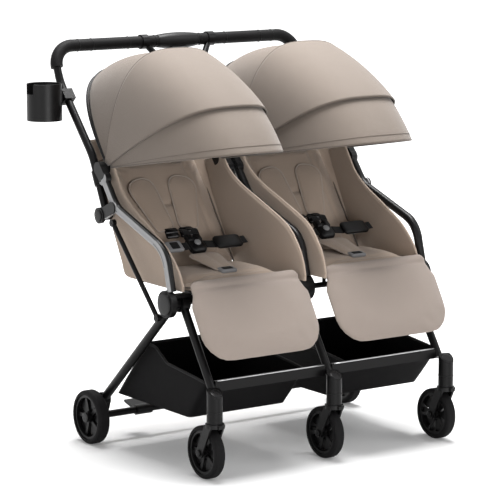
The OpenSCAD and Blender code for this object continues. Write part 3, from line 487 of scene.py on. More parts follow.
def join(*solids):
    """Several bodies in one mesh."""
    points, faces, base = [], [], 0
    for p, f in solids:
        points.append(p)
        faces += [[i + base for i in q] for q in f]
        base += len(p)
    return np.concatenate(points), faces


def shifted(solid, shift):
    """The same body, moved across."""
    return solid[0] + np.array([shift, 0.0, 0.0]), solid[1]


def add(name, data):
    """A new object in the scene."""
    made = bpy.data.objects.new(name, data)
    bpy.context.scene.collection.objects.link(made)
    return made


def make(name, solid, finish, body, replaces=(), subdivide=0):
    """One finished piece at the origin, riding on its body."""
    mesh = bpy.data.meshes.new(name)
    mesh.from_pydata(solid[0].tolist(), [], [[int(i) for i in q] for q in solid[1]])
    settle(mesh, finish)
    piece = add(name, mesh)
    finish_piece(piece, body, replaces, subdivide)
    return piece


def settle(mesh, finish):
    """Outward normals, smooth shading and the finish."""
    work = bmesh.new()
    work.from_mesh(mesh)
    bmesh.ops.recalc_face_normals(work, faces=work.faces)
    work.to_mesh(mesh)
    work.free()
    mesh.polygons.foreach_set("use_smooth", np.full(len(mesh.polygons), True))
    mesh.materials.clear()
    mesh.materials.append(FINISHES[finish])
    mesh.update()


def finish_piece(piece, body, replaces=(), subdivide=0):
    """Tells the frame what the piece rides on and the nodes that it stands for."""
    if subdivide:
        more = piece.modifiers.new("Subdivision", "SUBSURF")
        more.levels = more.render_levels = subdivide
    if body:
        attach(piece, body)
    if replaces:
        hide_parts(*replaces)


# Padded cloth


class Board:
    """A pad's own frame: x across, y along, z out of its face."""

    def __init__(self, origin, along, out):
        self.origin = np.asarray(origin, float)
        self.y = np.asarray(along, float) / np.linalg.norm(along)
        self.z = np.asarray(out, float) / np.linalg.norm(out)
        self.x = np.cross(self.y, self.z)
        self.basis = np.stack([self.x, self.y, self.z])

    def world(self, local):
        return self.origin + np.asarray(local, float) @ self.basis

    def local(self, points):
        return (np.asarray(points, float) - self.origin) @ self.basis.T


def outline(width, length, corners, steps=128, taper=0.0):
    """A rounded rectangle, corner radii (near end, far end), y from 0 to length; taper narrows the near end."""
    turn = np.linspace(0.0, 2.0 * math.pi, steps, endpoint=False)
    reach = np.maximum(np.abs(np.cos(turn)), np.abs(np.sin(turn)))
    x, y = np.cos(turn) / reach * width / 2.0, np.sin(turn) / reach * length / 2.0
    corner = np.where(y < 0, corners[0], corners[1])
    over_x = np.abs(x) - (width / 2.0 - corner)
    over_y = np.abs(y) - (length / 2.0 - corner)
    curve = (over_x > 0) & (over_y > 0)
    far = np.maximum(np.hypot(over_x, over_y), 1e-9)
    x = np.where(curve, np.sign(x) * (width / 2.0 - corner + over_x / far * corner), x)
    y = np.where(curve, np.sign(y) * (length / 2.0 - corner + over_y / far * corner), y)
    x = x * (1.0 - taper * (0.5 - y / length))
    return np.stack([x, y + length / 2.0], axis=-1)


def pad_body(board, edge, thick, lip=0.4, power=4.0):
    """A crowned pad: the outline is carried from the middle of the underside to the lip and over the crown.
    Height over the underside is thick times (lip + (1 - lip) sqrt(1 - s^power)), s the share of the way to the lip."""
    middle = edge.mean(axis=0)
    under = np.linspace(0.06, 0.985, 9)
    over = np.concatenate([np.linspace(0.985, 0.8, 6), np.linspace(0.72, 0.06, 9)])
    s = np.concatenate([under, [1.0, 1.0], over])
    side = [thick * lip * 0.3, thick * lip * 0.8]
    crown = thick * (lip + (1 - lip) * np.sqrt(1 - over**power))
    z = np.concatenate([under * 0.0, side, crown])
    flat = middle + (edge - middle)[None] * s[:, None, None]
    local = np.concatenate([flat, np.broadcast_to(z[:, None, None], (*flat.shape[:2], 1))], axis=-1)
    return ring_solid(board.world(local))


def block(board, width, length, corner, thick, lip, start=0.0, steps=48):
    """A moulded block: a crowned pad on a rounded rectangle that begins at start."""
    edge = outline(width, length, (corner, corner), steps) + np.array([0.0, start])
    return pad_body(board, edge, thick, lip)


def pad_edge(board, edge, height, radius):
    """Piping round a pad's lip."""
    local = np.column_stack([edge, np.full(len(edge), height)])
    return tube(board.world(local), radius, 10, closed=True)


def way_to(points, segments):
    """Distance of each point to the nearest of the segments, in the pad's plane."""
    best = np.full(len(points), 1.0)
    for x0, y0, x1, y1 in segments:
        start, way = np.array([x0, y0]), np.array([x1 - x0, y1 - y0])
        t = np.clip(((points - start) @ way) / (way @ way), 0.0, 1.0)
        best = np.minimum(best, np.linalg.norm(points - start - t[:, None] * way, axis=1))
    return best


def stuffed(name, board, solid, thick, finish, segments=(), depth=None, rounds=0, pressure=4.0, voxel=0.005):
    """A pad blown up by the cloth simulation from a slightly smaller body, held at its underside, then sewn:
    each seam draws the face in by depth exp(-(distance / width)^2), with a shallower and wider dip round it."""
    mesh = bpy.data.meshes.new(name)
    mesh.from_pydata(solid[0].tolist(), [], solid[1])
    settle(mesh, finish)
    piece = add(name, mesh)
    remesh = piece.modifiers.new("Remesh", "REMESH")
    remesh.mode = "VOXEL"
    remesh.voxel_size = voxel
    bake(piece)
    start = coordinates(piece.data)
    swell(piece, board, thick, pressure)
    points = coordinates(piece.data)
    moved = points - start
    far = np.maximum(np.linalg.norm(moved, axis=1, keepdims=True), 1e-9)
    points = start + moved * np.minimum(1.0, sizes().swell / far)
    piece.data.vertices.foreach_set("co", points.ravel())
    if rounds:
        even(piece, rounds)
    local = board.local(coordinates(piece.data))
    local[:, 2] = np.maximum(local[:, 2], 0.0)
    if len(segments):
        gap = way_to(local[:, :2], segments)
        face = np.clip(local[:, 2] / (0.5 * thick), 0.0, 1.0)
        draw = depth or sizes().seam
        local[:, 2] -= face * draw * (np.exp(-((gap / 0.006) ** 2)) + 0.35 * np.exp(-((gap / 0.018) ** 2)))
    piece.data.vertices.foreach_set("co", board.world(local).ravel())
    settle(piece.data, finish)
    return piece


def coordinates(mesh):
    """The mesh's points, one row each."""
    flat = np.empty(len(mesh.vertices) * 3)
    mesh.vertices.foreach_get("co", flat)
    return flat.reshape(-1, 3)


def bake(piece):
    """Applies the piece's modifiers to its mesh."""
    graph = bpy.context.evaluated_depsgraph_get()
    done = bpy.data.meshes.new_from_object(piece.evaluated_get(graph))
    piece.modifiers.clear()
    piece.data = done


def swell(piece, board, thick, pressure, frames=20):
    """Some frames of pressure in the cloth simulation, with gravity off and the underside held."""
    held = piece.vertex_groups.new(name="held")
    low = board.local(coordinates(piece.data))[:, 2] < 0.12 * thick
    held.add(np.flatnonzero(low).tolist(), 1.0, "REPLACE")
    cloth = piece.modifiers.new("Cloth", "CLOTH")
    cloth.settings.vertex_group_mass = "held"
    cloth.settings.use_pressure = True
    cloth.settings.uniform_pressure_force = pressure
    cloth.settings.quality = 4
    cloth.settings.mass = 0.3
    cloth.settings.effector_weights.gravity = 0.0
    cloth.collision_settings.use_collision = False
    cloth.point_cache.frame_start = 1
    cloth.point_cache.frame_end = frames
    scene = bpy.context.scene
    for step in range(1, frames + 1):
        scene.frame_set(step)
    bake(piece)
    scene.frame_set(1)


def even(piece, rounds):
    """Pulls the cloth smooth: each point goes halfway to the mean of its neighbours, rounds times."""
    smooth = piece.modifiers.new("Smooth", "SMOOTH")
    smooth.factor = 0.5
    smooth.iterations = rounds
    bake(piece)


def copy_across(piece, name, finish):
    """The same pad for the right seat."""
    mesh = piece.data.copy()
    mesh.name = name
    mesh.vertices.foreach_set("co", (coordinates(mesh) + np.array([SEAT_PITCH, 0.0, 0.0])).ravel())
    twin = add(name, mesh)
    settle(mesh, finish)
    return twin


def seat_board(x, y, z, slope):
    """A frame at (x, y, z) that runs along Y, tilted up by slope."""
    return Board((x, y, z), (0, math.cos(slope), math.sin(slope)), (0, -math.sin(slope), math.cos(slope)))


def back_board(x):
    """The backrest's frame: y runs up the panel, z points forward, on the rails' front."""
    board = seat_board(x, *BACK_HINGE, BACK_SLOPE)
    board.origin = board.origin + RAIL_SEAT * board.z
    return board


def foot_board(x):
    """The footrest's frame: y runs down the panel, z points forward."""
    board = Board(
        (x, *FOOT_HINGE),
        (0, -math.cos(FOOT_SLOPE), -math.sin(FOOT_SLOPE)),
        (0, -math.sin(FOOT_SLOPE), math.cos(FOOT_SLOPE)),
    )
    board.origin = board.origin + RAIL_SEAT * board.z
    return board


def area_of(points, rows, cols):
    """Area of a grid, as the sum of its triangles."""
    p = points.reshape(-1, 3)[quads(rows, cols)]
    half = lambda a, b, c: np.linalg.norm(np.cross(b - a, c - a), axis=1) / 2.0
    return float((half(p[:, 0], p[:, 1], p[:, 2]) + half(p[:, 0], p[:, 2], p[:, 3])).sum())


def declare_sheet(grid):
    """Measures a stretched cloth by its own grid: the longest row and column give the flat size, the grid its area.
    Nothing is done with the results.
    """
    along = np.linalg.norm(np.diff(grid, axis=0), axis=-1).sum(axis=0).max()
    across = np.linalg.norm(np.diff(grid, axis=1), axis=-1).sum(axis=1).max()
    area = min(area_of(grid, *grid.shape[:2]), float(across * along))


def thin_wall(grid, out):
    """A closed wall of thin cloth behind a grid."""
    return sheet_solid(grid, grid - THIN_CLOTH * out)


# Pieces


class STROLLER_OT_finishes(bpy.types.Operator):
    """Give every rigid piece of the frame its finish"""

    bl_idname = "stroller.finishes"
    bl_label = "Frame finishes"

    def execute(self, context):
        make_finishes()
        wanted = {
            "satin_frame": "satin",
            "frame": "tube",
            "plastic": "plastic",
            "grey_plastic": "accent",
            "grip": "grip",
            "tyre": "tyre",
            "rim": "plastic",
            "fabric": "fabric",
            "pad_fabric": "pad",
            "basket_fabric": "basket",
            "webbing": "webbing",
        }
        # The outer seat tubes take the coat with the painted highlight band
        special = {"left_outer_tube": "two_tone", "right_outer_tube": "two_tone", "brake_pedal": "plastic"}
        for part in frame["record"]["subparts"]:
            mesh = frame["nodes"][part["node"]].data
            mesh.materials.clear()
            mesh.materials.append(FINISHES[special.get(part["node"], wanted[part["material_slot"]])])
        return {"FINISHED"}


def bow_size(layer, lift):
    """Reach and half width of a layer's bows: each layer lies one step inside the one before, and lift adds to both."""
    return CANOPY_R - layer * CANOPY_STEP + lift, CANOPY_HALF - layer * CANOPY_STEP + lift


def bow(x, radius, half, angle, phi):
    """Points of a bow: a superellipse (reach, across) turned to the angle about the canopy pivot."""
    reach = radius * np.sin(phi) ** (2.0 / BOW_POWER)
    across = half * np.sign(np.cos(phi)) * np.abs(np.cos(phi)) ** (2.0 / BOW_POWER)
    return np.stack(
        [x + across, CANOPY_PIVOT[0] + reach * np.cos(angle), CANOPY_PIVOT[1] + reach * np.sin(angle)], axis=-1
    )


def bow_turns(radius, count=96):
    """Angles along a bow, from pin to pin, eased by a double sine so that its points lie more evenly."""
    start = math.asin((CANOPY_PIN / radius) ** (BOW_POWER / 2.0))
    share = np.linspace(0.0, 1.0, count)
    eased = share - 0.09 * np.sin(4.0 * math.pi * share) / 2.0
    return start + (math.pi - 2.0 * start) * eased


def canopy_grid(x, layer, start, end, sag, lift=0.0, rows=40):
    """A panel between two bows: the cloth draws in between them by sag sin(pi t), most at the crown."""
    radius, half = bow_size(layer, lift)
    t = np.linspace(0.0, 1.0, rows)
    phi, angle = np.meshgrid(bow_turns(radius), np.radians(start + (end - start) * t))
    crown = np.sin(phi) ** 0.7
    draw = sag * np.sin(math.pi * t)[:, None] * crown
    return bow(x, radius - draw, half - draw * 0.35, angle, phi)


def drawn_out(points):
    """The open canopy's cloth in front of the middle bow reaches further than the bows' circle: its distance
    from the pivot along DRAW_LINE is multiplied by CANOPY_DRAW."""
    ahead = np.maximum((points[..., 1:] - CANOPY_PIVOT) @ DRAW_LINE, 0.0)
    out = points.copy()
    out[..., 1:] += (CANOPY_DRAW - 1.0) * ahead[..., None] * DRAW_LINE
    return out


def gather(piece):
    """Gives the piece a mesh of its own; the cloth is not drawn in again to the circle of its bows as the canopy folds.
    """
    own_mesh(piece)


def canopy_wall(x, layer, start, end, sag, open_out):
    """A panel of cloth: its outer grid, and the closed wall between that and an inner one."""
    grids = [canopy_grid(x, layer, start, end, sag, lift) for lift in (0.0, -sizes().cloth)]
    if open_out:
        grids = [drawn_out(grid) for grid in grids]
    return grids[0], sheet_solid(*grids)


class STROLLER_OT_canopies(bpy.types.Operator):
    """Stretch the three canopy panels of each seat over their bows, with piping, hem and rear curtain"""

    bl_idname = "stroller.canopies"
    bl_label = "Canopies"

    def execute(self, context):
        for side, sign in SIDES:
            x = sign * SEAT_X
            self.panels(side, x)
            self.trim(side, x)
            self.curtain(side, x)
        return {"FINISHED"}

    def panels(self, side, x):
        """The panels lap one another by CANOPY_LAP degrees. The main panel and the visor fold."""
        a, sag = CANOPY_ANGLES, sizes().sag
        panels = (
            ("rear", "chassis", REAR, a["rear"], a["mid"] + CANOPY_LAP, sag * 4.0),
            ("main", f"{side}_canopy_main", MAIN, a["mid"] - CANOPY_LAP, a["seam"], sag),
            ("visor", f"{side}_canopy_visor", VISOR, a["seam"] - CANOPY_LAP, a["front"], sag * 0.5),
        )
        for part, body, layer, start, end, draw in panels:
            node = f"{side}_canopy_{part}"
            grid, wall = canopy_wall(x, layer, start, end, draw, layer != REAR)
            piece = make(f"{node}_cloth", wall, "fabric", body, [node])
            declare_sheet(grid)
            if layer != REAR:
                gather(piece)

    def trim(self, side, x):
        """Tubes along the bows' lines: the visor's hem, the piping of the main panel and the rear bow."""
        a, pipe = CANOPY_ANGLES, sizes().piping

        def line(layer, angle, lift):
            radius, half = bow_size(layer, lift)
            return drawn_out(bow(x, radius, half, math.radians(angle), bow_turns(radius, 120)))

        hem = tube(line(VISOR, a["front"], -0.0017), pipe * 1.1)
        stitch = tube(line(VISOR, a["front"] - CANOPY_LAP, -0.0003), 0.0009, 8)
        seam = tube(line(MAIN, a["seam"], -0.0016), pipe * 0.8)
        crown = tube(line(MAIN, a["mid"] - CANOPY_LAP, -0.0008), pipe * 0.7)
        pieces = (
            ("visor_hem", join(hem, stitch), "visor"),
            ("main_piping", seam, "main"),
            ("main_edge", crown, "main"),
        )
        for name, solid, body in pieces:
            gather(make(f"{side}_{name}", solid, "piping", f"{side}_canopy_{body}"))
        outer = tube(line(REAR, a["rear"] - 0.3, -0.0005), 0.0042)
        inner = tube(line(REAR, a["rear"] + 3.0, -0.0008), 0.0026)
        make(f"{side}_rear_bow", join(outer, inner), "plastic", "chassis")

    def curtain(self, side, x):
        """The canopy's back: straight lines from between the pins to the rear bow, filled out to the back by
        powers of a sine across and a sine up."""
        lean = math.radians(CANOPY_ANGLES["rear"])
        ahead = np.array([0.0, -math.sin(lean), math.cos(lean)])
        radius, half = bow_size(REAR, -0.003)
        rows, cols = 28, 64
        edge = bow(x, radius, half, lean, bow_turns(radius, cols))
        foot = edge.copy()
        foot[:, 1:] = CANOPY_PIVOT + CANOPY_PIN * np.array([math.cos(lean), math.sin(lean)])
        t = np.linspace(0.0, 1.0, rows)[:, None, None]
        u = np.linspace(0.0, 1.0, cols)[None, :, None]
        full = np.sin(math.pi * u) ** 0.35 * np.sin(math.pi * t) ** 0.6
        grid = foot + (edge - foot) * t + ahead * (0.004 - 0.026 * full)
        wall = sheet_solid(grid, grid + ahead * sizes().cloth)
        curtain = make(f"{side}_canopy_curtain", wall, "fabric", "chassis")
        declare_sheet(grid)


class STROLLER_OT_seats(bpy.types.Operator):
    """Stuff the seat cushions, backrests and footrests"""

    bl_idname = "stroller.seats"
    bl_label = "Seats, backrests and footrests"

    def execute(self, context):
        self.seats()
        self.backs()
        self.footrests()
        self.gussets()
        return {"FINISHED"}

    def pair(self, first, node, body, fill, finish, slot, trim=None):
        """Copies the left pad for the right seat and finishes both, with their piping."""
        twin = copy_across(first, node.format("right") + "_cover", finish)
        for piece, (side, shift) in zip((first, twin), SEAT_SHIFTS):
            finish_piece(piece, body.format(side), [node.format(side)], subdivide=1)
            if trim:
                name, piping = trim
                make(f"{side}_{name}", shifted(piping, shift), "piping", body.format(side))

    def seats(self):
        """The cushions: a crowned pad with one seam across, behind its front roll."""
        board = seat_board(-SEAT_X, SEAT_FRONT + 0.003, SEAT_BASE, 0.0)
        width, length, thick = SEAT_PAD
        edge = outline(width, length, (0.03, 0.02))
        body = pad_body(board, edge, thick, lip=0.5)
        seams = [(-width / 2, 0.037, width / 2, 0.037)]
        piece = stuffed("left_seat_cover", board, body, thick, "lining", seams, rounds=8)
        piping = pad_edge(board, edge, 0.009, PAD_PIPING)
        self.pair(piece, "{}_seat", "chassis", 0.5, "lining", "fabric", ("seat_piping", piping))

    def backs(self):
        """The backrests: a crowned pad with a seam down each side and one across between them."""
        board = back_board(-SEAT_X)
        width, length, thick = BACK_PAD
        edge = outline(width, length, (0.02, 0.03), taper=0.02)
        body = pad_body(board, edge, thick, lip=0.45)
        seams = [(-0.100, 0.01, -0.092, 0.325), (0.100, 0.01, 0.092, 0.325), (-0.096, 0.182, 0.096, 0.182)]
        piece = stuffed("left_backrest_cover", board, body, thick, "lining", seams, depth=0.0042, rounds=6)
        piping = pad_edge(board, edge, 0.008, PAD_PIPING)
        self.pair(piece, "{}_backrest", "{}_back", 0.5, "lining", "fabric", ("backrest_piping", piping))

    def footrests(self):
        """The footrests: a flat pad with a seam along its hinge, narrowed there to clear the wings."""
        board = foot_board(-SEAT_X)
        width, length, thick = FOOT_PAD
        edge = outline(width, length, (0.018, 0.074)) + np.array([0.0, -0.0145])
        edge[:, 0] *= np.interp(edge[:, 1], [0.026, 0.046], [0.925, 1.0])
        body = pad_body(board, edge, thick, lip=0.5, power=6.0)
        seams = [(-0.157, 0.013, 0.157, 0.013)]
        piece = stuffed("left_footrest_cover", board, body, thick, "pad", seams, depth=0.003, rounds=30, pressure=1.5)
        self.pair(piece, "{}_footrest", "{}_footrest", 0.6, "pad", "pad_fabric")

    def gussets(self):
        """Cloth that closes the seat: a strip from each wing to the backrest's side, straight across and slack by a
        sine, laid where the backrest is at rest and not attached to it, and a flap that runs on above the backrest and
        turns with it."""
        back_edge = 0.138
        along = np.linspace(0.030, 0.375, 44)[:, None]
        at_wing = np.interp(along, [0.02, 0.12, 0.20, 0.296], [-0.0075, 0.005, 0.017, 0.034])
        t = np.linspace(0.0, 1.0, 9)[None]
        for side, sign in SIDES:
            board = back_board(sign * SEAT_X)
            for place, s, wing in (("outer", sign, 0.1575), ("inner", -sign, 0.1665)):
                x = s * (wing + (back_edge - wing) * t)
                z = at_wing * (1.0 - t) + 0.008 * t - 0.003 * np.sin(math.pi * t)
                grid = board.world(np.stack(np.broadcast_arrays(x, along, z), axis=-1))
                piece = make(f"{side}_{place}_gusset", thin_wall(grid, board.z), "lining", None)
                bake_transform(piece)
                declare_sheet(grid)
            span = np.linspace(*sorted((-sign * 0.168, sign * 0.152)), 40)
            x, y = np.meshgrid(span, np.linspace(0.27, 0.392, 16))
            grid = board.world(np.stack([x, y, 0.004 + 0.006 * np.cos(x / 0.150 * 0.5 * math.pi)], axis=-1))
            flap = make(f"{side}_back_flap", thin_wall(grid, board.z), "lining", f"{side}_back")
            declare_sheet(grid)


# The wings' upper edges from front to back, and their foot: a share of the way to the back and a height
WING_TOPS = {
    "outer": (
        (-0.138, 0.446), (-0.115, 0.485), (-0.067, 0.529), (0.008, 0.570),
        (0.080, 0.607), (0.125, 0.640), (0.152, 0.676), (0.176, 0.712),
    ),
    "inner": (
        (-0.183, 0.446), (-0.173, 0.482), (-0.153, 0.518), (-0.107, 0.563),
        (-0.012, 0.603), (0.085, 0.640), (0.141, 0.672), (0.176, 0.712),
    ),
}
WING_FOOT = (
    (0.0, 0.436), (0.35, 0.436), (0.70, 0.437), (1.0, 0.440),
    (1.12, 0.475), (1.30, 0.530), (1.52, 0.600), (1.76, 0.690),
)
WING_BACK = 0.115
WING_RISE = 0.165


def wing_grid(x, sign, top, bulge, pad=0.0, rows=24, cols=88):
    """A wing: straight lines from the foot curve to the top curve, bulged outwards by bulge sin(pi t).
    The foot runs along the cushion, then up behind the backrest; pad thickens the wing towards its back edge."""
    top = smooth_path(top, cols)
    share = smooth_path(WING_FOOT, cols)
    back = np.interp(share[:, 0], [0, 1, 2], [top[0, 0], WING_BACK, WING_BACK + WING_RISE])
    foot = np.stack([back, share[:, 1]], axis=-1)
    t = np.linspace(0.0, 1.0, rows)
    u = np.linspace(0.0, 1.0, cols)
    flat = foot[None] + (top - foot)[None] * t[:, None, None]
    swell = sign * bulge * np.sin(math.pi * t)[:, None] * np.sin(math.pi * u)[None]
    fill = np.sin(0.5 * math.pi * (1.0 - t))[:, None] ** 0.5
    out = x + swell + pad * np.clip((u - 0.25) / 0.5, 0.0, 1.0)[None] * fill
    return np.concatenate([out[..., None], flat], axis=-1)


class STROLLER_OT_wings(bpy.types.Operator):
    """Hang the padded wings beside each seat, with a piped upper edge"""

    bl_idname = "stroller.wings"
    bl_label = "Side wings"

    def execute(self, context):
        thick = sizes().wing
        for side, sign in SIDES:
            walls, pipes = [], []
            for place, x, out, extra in (("outer", 0.3583, 1.0, 0.0), ("inner", 0.0278, -1.0, 0.007)):
                top, inward = WING_TOPS[place], -sign * out
                outer = wing_grid(sign * x, inward, top, 0.0012)
                inner = wing_grid(sign * (x - out * thick), inward, top, 0.002, inward * extra)
                walls.append(sheet_solid(outer, inner))
                pipes.append(tube((outer[-1] + inner[-1]) / 2.0, thick * 0.52))
            wing = make(f"{side}_wings", join(*walls), "lining", "chassis", [f"{side}_side_panels"])
            make(f"{side}_wing_piping", join(*pipes), "lining", "chassis")
        return {"FINISHED"}


# Baskets: half widths on the leg's side and in the middle, the rim's line as y and height, and the foot
BASKET_HALVES = (0.1520, 0.1335)
BASKET_RIM_Y = (-0.2285, 0.038)
BASKET_RIM_LINE = ((-0.2317, -0.179, -0.056, -0.004, 0.038), (0.228, 0.235, 0.248, 0.280, 0.282))
BASKET_FOOT_Y = (-0.147, 0.182)
BASKET_FLOOR = 0.131


class STROLLER_OT_baskets(bpy.types.Operator):
    """Sew the two baskets: four walls, a floor that hangs through and a bound rim"""

    bl_idname = "stroller.baskets"
    bl_label = "Baskets"

    def execute(self, context):
        for side, sign in SIDES:
            outer, rim_line = self.shell(sign, 0.0)
            inner, _ = self.shell(sign, THIN_CLOTH)
            solid = self.tray(outer, inner)
            basket = make(f"{side}_basket_cloth", solid, "basket", "chassis", [f"{side}_basket"])
            binding = tube(rim_line, 0.0032, 10, closed=True)
            make(f"{side}_basket_binding", binding, "webbing", "chassis")
        return {"FINISHED"}

    def tray(self, outer, inner):
        """A closed wall between two trays: both shells, the lip between them and a face in the middle of each floor."""
        rows, cols = outer.shape[:2]
        count = rows * cols
        face = quads(rows, cols, close_cols=True)
        lip = np.arange(cols)
        ahead = (lip + 1) % cols
        border = np.stack([lip, ahead, ahead + count, lip + count], axis=-1)
        floor = [(rows - 1) * cols + i for i in range(cols)]
        walls = [*face.tolist(), *(face[:, ::-1] + count).tolist(), *border.tolist()]
        points = np.concatenate([outer.reshape(-1, 3), inner.reshape(-1, 3)])
        return points, [*walls, floor, [i + count for i in floor]]

    def shell(self, sign, inset, steps=160):
        """A tray: a rounded rectangle, wider on the leg's side, is carried from the rim, whose height follows the
        side's line, down the walls and over the floor to its middle; the back leans with the rear leg and the
        floor sags."""
        turn = outline(2.0, 2.0, (0.06, 0.06), steps) - np.array([0.0, 1.0])
        across, along = turn[:, 0], turn[:, 1]
        x = sign * SEAT_X
        half = np.where(across * sign > 0, *BASKET_HALVES) - inset
        rim_y = np.interp(along, [-1, 1], BASKET_RIM_Y)
        rim_z = np.interp(rim_y, *BASKET_RIM_LINE)
        top = np.stack([x + across * half, rim_y - np.sign(along) * inset, rim_z], axis=-1)
        foot_y = np.interp(along, [-1, 1], [BASKET_FOOT_Y[0] + inset, BASKET_FOOT_Y[1] - inset])
        foot = np.stack([x + across * (half - 0.003), foot_y, np.full(steps, BASKET_FLOOR + inset)], axis=-1)
        t = np.linspace(0.0, 1.0, 22)[:, None, None]
        bulge = np.stack([across * 0.002, along * 0.0, along * 0.0], axis=-1)
        walls = top + (foot - top) * t + bulge * np.sin(math.pi * t)
        s = np.linspace(0.96, 0.04, 14)[:, None, None]
        middle = foot.mean(axis=0)
        floor = middle + (foot - middle) * s
        floor[..., 2] -= sizes().basket_sag * np.cos(0.5 * math.pi * s[..., 0]) * 0.25
        return np.concatenate([walls, floor]), top


class STROLLER_OT_harness(bpy.types.Operator):
    """Lay the shoulder pads, straps, buckles and crotch pads on the seats"""

    bl_idname = "stroller.harness"
    bl_label = "Harness"

    def execute(self, context):
        self.shoulder_pads()
        self.crotch()
        for side, sign in SIDES:
            self.straps(side, sign * SEAT_X)
            self.buckle(side, sign * SEAT_X)
        return {"FINISHED"}

    def shoulder_pads(self):
        """Two pads that lean apart, narrow below, with a bound edge."""
        base = back_board(-SEAT_X)
        width, length, thick = SHOULDER_PAD
        tack = [(0.0, 0.0, 0.0, 0.01)]
        pads, pipes = [], []
        for s in (-1.0, 1.0):
            turn = math.radians(-12.5 * s)
            along = math.cos(turn) * base.y - math.sin(turn) * base.x
            board = Board(base.world((s * 0.0330, 0.1072, 0.0303)), along, base.z)
            edge = outline(width, length, (0.014, 0.036), 96, taper=0.36)
            body = pad_body(board, edge, thick, lip=0.45)
            name = f"left_shoulder_pad_{int(s)}"
            pads.append(stuffed(name, board, body, thick, "lining", tack, depth=0.0001, voxel=FINE_VOXEL))
            pipes.append(pad_edge(board, edge, 0.004, 0.0019))
        both = join(*[(coordinates(pad.data), [list(face.vertices) for face in pad.data.polygons]) for pad in pads])
        for pad in pads:
            bpy.data.objects.remove(pad)
        for side, shift in SEAT_SHIFTS:
            body, node = f"{side}_back", f"{side}_shoulder_pads"
            name = f"{side}_shoulder_pad_covers"
            cover = make(name, shifted(both, shift), "lining", body, [node], subdivide=1)
            make(f"{side}_shoulder_piping", shifted(join(*pipes), shift), "binding", body)

    def crotch(self):
        """The crotch pads: narrow in front, with a seam along the middle and a bound edge."""
        board = seat_board(-SEAT_X, -0.0850, 0.4643, math.radians(12.0))
        width, length, thick = CROTCH_PAD
        edge = outline(width, length, (0.012, 0.020), 96, taper=0.42)
        body = pad_body(board, edge, thick, lip=0.45)
        seams = [(0.0, 0.01, 0.0, 0.10)]
        first = stuffed("left_crotch_pad", board, body, thick, "lining", seams, depth=0.0012, voxel=FINE_VOXEL)
        twin = copy_across(first, "right_crotch_pad", "lining")
        for piece, (side, shift) in zip((first, twin), SEAT_SHIFTS):
            finish_piece(piece, "chassis", [f"{side}_harness_straps"], subdivide=1)
            trim = shifted(pad_edge(board, edge, 0.0035, 0.0018), shift)
            make(f"{side}_crotch_piping", trim, "binding", "chassis")
            self.adjuster(side, shift, board)

    def adjuster(self, side, shift, board):
        """A grey slide at the front end of the crotch pad, with the strap's black tail through it."""
        plate = block(board, 0.046, 0.026, 0.006, 0.0085, 0.7, -0.017)
        make(f"{side}_crotch_slide", shifted(plate, shift), "accent", "chassis")
        tail = block(board, 0.030, 0.014, 0.003, 0.0098, 0.8, -0.011)
        make(f"{side}_crotch_tail", shifted(tail, shift), "webbing", "chassis")

    def straps(self, side, x):
        """Waist straps from the buckle to the seat's sides, and two shoulder straps from the pads down to it."""
        on, back = seat_board(x, *BUCKLE_AT, BUCKLE_LEAN), back_board(x)
        ribbons = []
        for s in (-1.0, 1.0):
            waist = ((0.0235, 0.030, 0.009), (0.060, 0.029, 0.0055), (0.105, 0.030, 0.0065), (0.148, 0.032, 0.009))
            path = on.world(smooth_path([(s * a, b, c) for a, b, c in waist], 24))
            ribbons.append(self.ribbon(path, on.y, sizes().webbing, STRAP_THICK))
            head = back.world((s * 0.030, 0.112, 0.0315))
            knee = on.world((s * 0.014, 0.075, 0.016))
            end = on.world((s * 0.0125, 0.050, 0.0120))
            path = smooth_path([head, 0.5 * (head + knee) - 0.002 * back.z, knee, end], 24)
            ribbons.append(self.ribbon(path, np.array([1.0, 0.0, 0.0]), 0.020, STRAP_THICK))
        make(f"{side}_harness_webbing", join(*ribbons), "webbing", "chassis")
        lock = Board(on.world((-0.066, 0.013, 0.0075)), on.y, on.z)
        slide = block(lock, 0.046, 0.034, 0.006, 0.0080, 0.6)
        make(f"{side}_waist_slide", slide, "accent", "chassis")
        core = block(lock, 0.026, 0.024, 0.003, 0.0092, 0.7, 0.005)
        make(f"{side}_waist_core", core, "webbing", "chassis")
        pad = Board(on.world((0.092, 0.009, 0.0075)), on.y, on.z)
        plate = block(pad, 0.078, 0.040, 0.010, 0.0085, 0.6, steps=64)
        make(f"{side}_waist_pad", plate, "plastic", "chassis")
        self.ladders(side, back)

    def ladders(self, side, back):
        """Two ladder locks below the shoulder pads: a black frame with a pale bar across its top and its foot."""
        frames, bars = [], []
        for s in (-1.0, 1.0):
            board = Board(back.world((s * 0.0215, 0.0830, 0.0300)), back.y, back.z)
            frames.append(block(board, 0.036, 0.027, 0.004, 0.0075, 0.7))
            for y in (0.002, 0.014):
                bars.append(tube(board.world([(t, y, 0.0078) for t in (-0.017, -0.006, 0.006, 0.017)]), 0.0015, 8))
        make(f"{side}_ladder_locks", join(*frames), "plastic", f"{side}_back")
        make(f"{side}_ladder_bars", join(*bars), "accent", f"{side}_back")

    def ribbon(self, path, wide, width, thick):
        """A flat strap: a superellipse section whose width stays along one direction."""
        tangent = np.gradient(path, axis=0)
        tangent /= np.linalg.norm(tangent, axis=1, keepdims=True)
        side = wide - (tangent @ wide)[:, None] * tangent
        side /= np.linalg.norm(side, axis=1, keepdims=True)
        up = np.cross(tangent, side)
        a, b = strap_profile(width, thick)
        rings = path[:, None] + up[:, None] * a[None, :, None] + side[:, None] * b[None, :, None]
        return ring_solid(rings)

